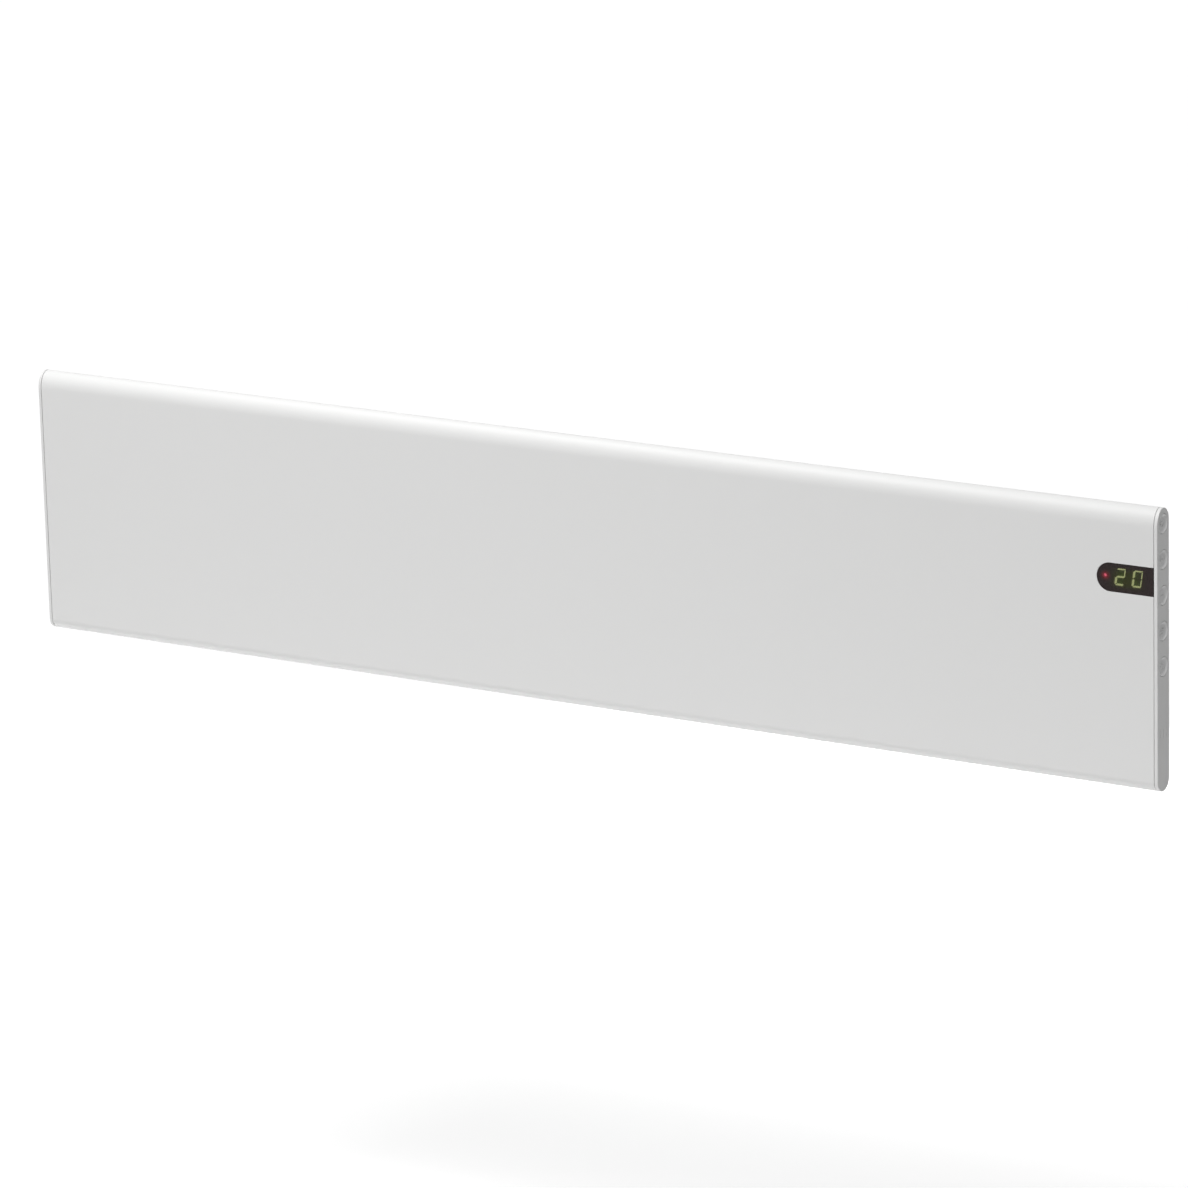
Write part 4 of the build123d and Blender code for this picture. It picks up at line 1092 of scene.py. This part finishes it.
# %% [markdown]
# ## Floor, light and camera
#
# The heater hangs in a bright studio. A wide sun from high in front lights the panel and,
# more strongly, its rounded top, and only grazes the end with the buttons, so that their
# dishes show. Strips of light above, below and behind fill the rounded edges and the rear,
# and a small one low on the right lifts the lower part of that end. The background is white
# for the camera and in reflections, and dimmer for the light that falls on the heater, so
# that nothing on it burns out.


# %% The share of rays that see the background
def seen_share(tree):
    """1 for a ray from the camera, in a mirror or through glass, and 0 for other light."""
    path = tree.tree.nodes.new("ShaderNodeLightPath")
    kinds = ("Is Camera Ray", "Is Glossy Ray", "Is Transmission Ray")
    camera_ray, glossy_ray, through_ray = (Socket(tree, path.outputs[kind]) for kind in kinds)
    return (camera_ray + glossy_ray + through_ray).least(1.0)


# %% Floor
floor_half = 30.0
floor_z = -0.75
floor_glow = 0.66
white = (1.0, 1.0, 1.0)
floor_tones = ((0.5, 0.5, 0.5), (0.51, 0.51, 0.51))

floor_finish = Finish("studio_floor")
glow = floor_finish.node("ShaderNodeEmission", None, {0: rgba(white), 1: floor_glow})
pale = floor_finish.node("ShaderNodeBsdfDiffuse", None, {0: rgba(floor_tones[0])})
seen_floor = floor_finish.node("ShaderNodeAddShader", None, {0: glow, 1: pale})
floor_tone = floor_finish.mix(floor_finish.noise(400.0), *floor_tones)
dim = floor_finish.node("ShaderNodeBsdfDiffuse", None, {0: floor_tone})
values = {0: seen_share(floor_finish), 1: dim, 2: seen_floor}
floor_shader = floor_finish.node("ShaderNodeMixShader", None, values)
floor_finish.node("ShaderNodeOutputMaterial", None, {0: floor_shader})

floor_mesh = bpy.data.meshes.new("floor")
corners = [(-1, -1), (1, -1), (1, 1), (-1, 1)]
places = [(x * floor_half, y * floor_half, floor_z) for x, y in corners]
floor_mesh.from_pydata(places, [], [[0, 1, 2, 3]])
floor_mesh.materials.append(floor_finish.material)
floor = bpy.data.objects.new("floor", floor_mesh)
bpy.context.scene.collection.objects.link(floor)
print("floor", 2 * floor_half, "m wide at Z", floor_z)

# %% Room light
room_light = 0.035
world = bpy.data.worlds.new("studio")
bpy.context.scene.world = world
world.use_nodes = True
world.node_tree.nodes.clear()
room = Tree(world.node_tree)
strength = seen_share(room) * (1.0 - room_light) + room_light
back = room.node("ShaderNodeBackground", None, {"Color": rgba(white), "Strength": strength})
room.node("ShaderNodeOutputWorld", None, {0: back})
print("room light", room_light)


# %% Lamps
def add_lamp(name, kind, energy, place, target):
    """A lamp at a place, its -Z axis turned to a target."""
    data = bpy.data.lights.new(name, kind)
    data.energy = energy
    lamp = bpy.data.objects.new(name, data)
    bpy.context.scene.collection.objects.link(lamp)
    lamp.location = place
    lamp.rotation_euler = (Vector(target) - Vector(place)).to_track_quat("-Z", "Y").to_euler()
    return data


middle = (0.0, -0.07, 0.0)
key = add_lamp("key", "SUN", 2.68, (0.16, -1.55, 2.3), middle)
key.angle = math.radians(25)
# Each strip's power, place, target, length and width.
strips = {
    "rear_fill": (18.0, (-0.7, 2.0, -0.45), middle, 1.6, 0.4),
    "top_strip": (3.95, (-0.5, -0.5, 1.1), (-0.05, -0.07, 0.0), 1.2, 0.5),
    "low_strip": (4.0, (-0.15, -0.18, -0.68), (-0.15, -0.07, 0.0), 2.1, 0.3),
    "low_right": (0.2, (1.0, -0.15, -0.66), (0.588, -0.07, -0.1), 0.5, 0.4),
}
for name, (power, place, target, length, width) in strips.items():
    strip = add_lamp(name, "AREA", power, place, target)
    strip.shape = "RECTANGLE"
    strip.size = length
    strip.size_y = width
print("a sun and", len(strips), "strips of light")

# %% Camera
# The lens is long and stands to the right of the heater and above it, slightly rolled.
camera_place = Vector((2.99595, -4.75112, 1.47036))
yaw, pitch, roll = (math.radians(a) for a in (32.49, 15.04, -1.49))
level = Vector((math.cos(yaw), math.sin(yaw), 0.0))
view = Vector((-math.sin(yaw) * math.cos(pitch), math.cos(yaw) * math.cos(pitch), -math.sin(pitch)))
upward = level.cross(view)
right = math.cos(roll) * level + math.sin(roll) * upward
above = math.cos(roll) * upward - math.sin(roll) * level
camera_data = bpy.data.cameras.new("camera")
camera_data.lens = 194.3
camera_data.sensor_width = 36.0
camera_data.clip_end = 100.0
camera = bpy.data.objects.new("camera", camera_data)
bpy.context.scene.collection.objects.link(camera)
turn = Matrix((right, above, -view)).transposed()
camera.matrix_world = Matrix.Translation(camera_place) @ turn.to_4x4()
bpy.context.scene.camera = camera
bpy.context.scene.view_settings.view_transform = "Standard"
print("camera at", camera_place, "looks along", view)
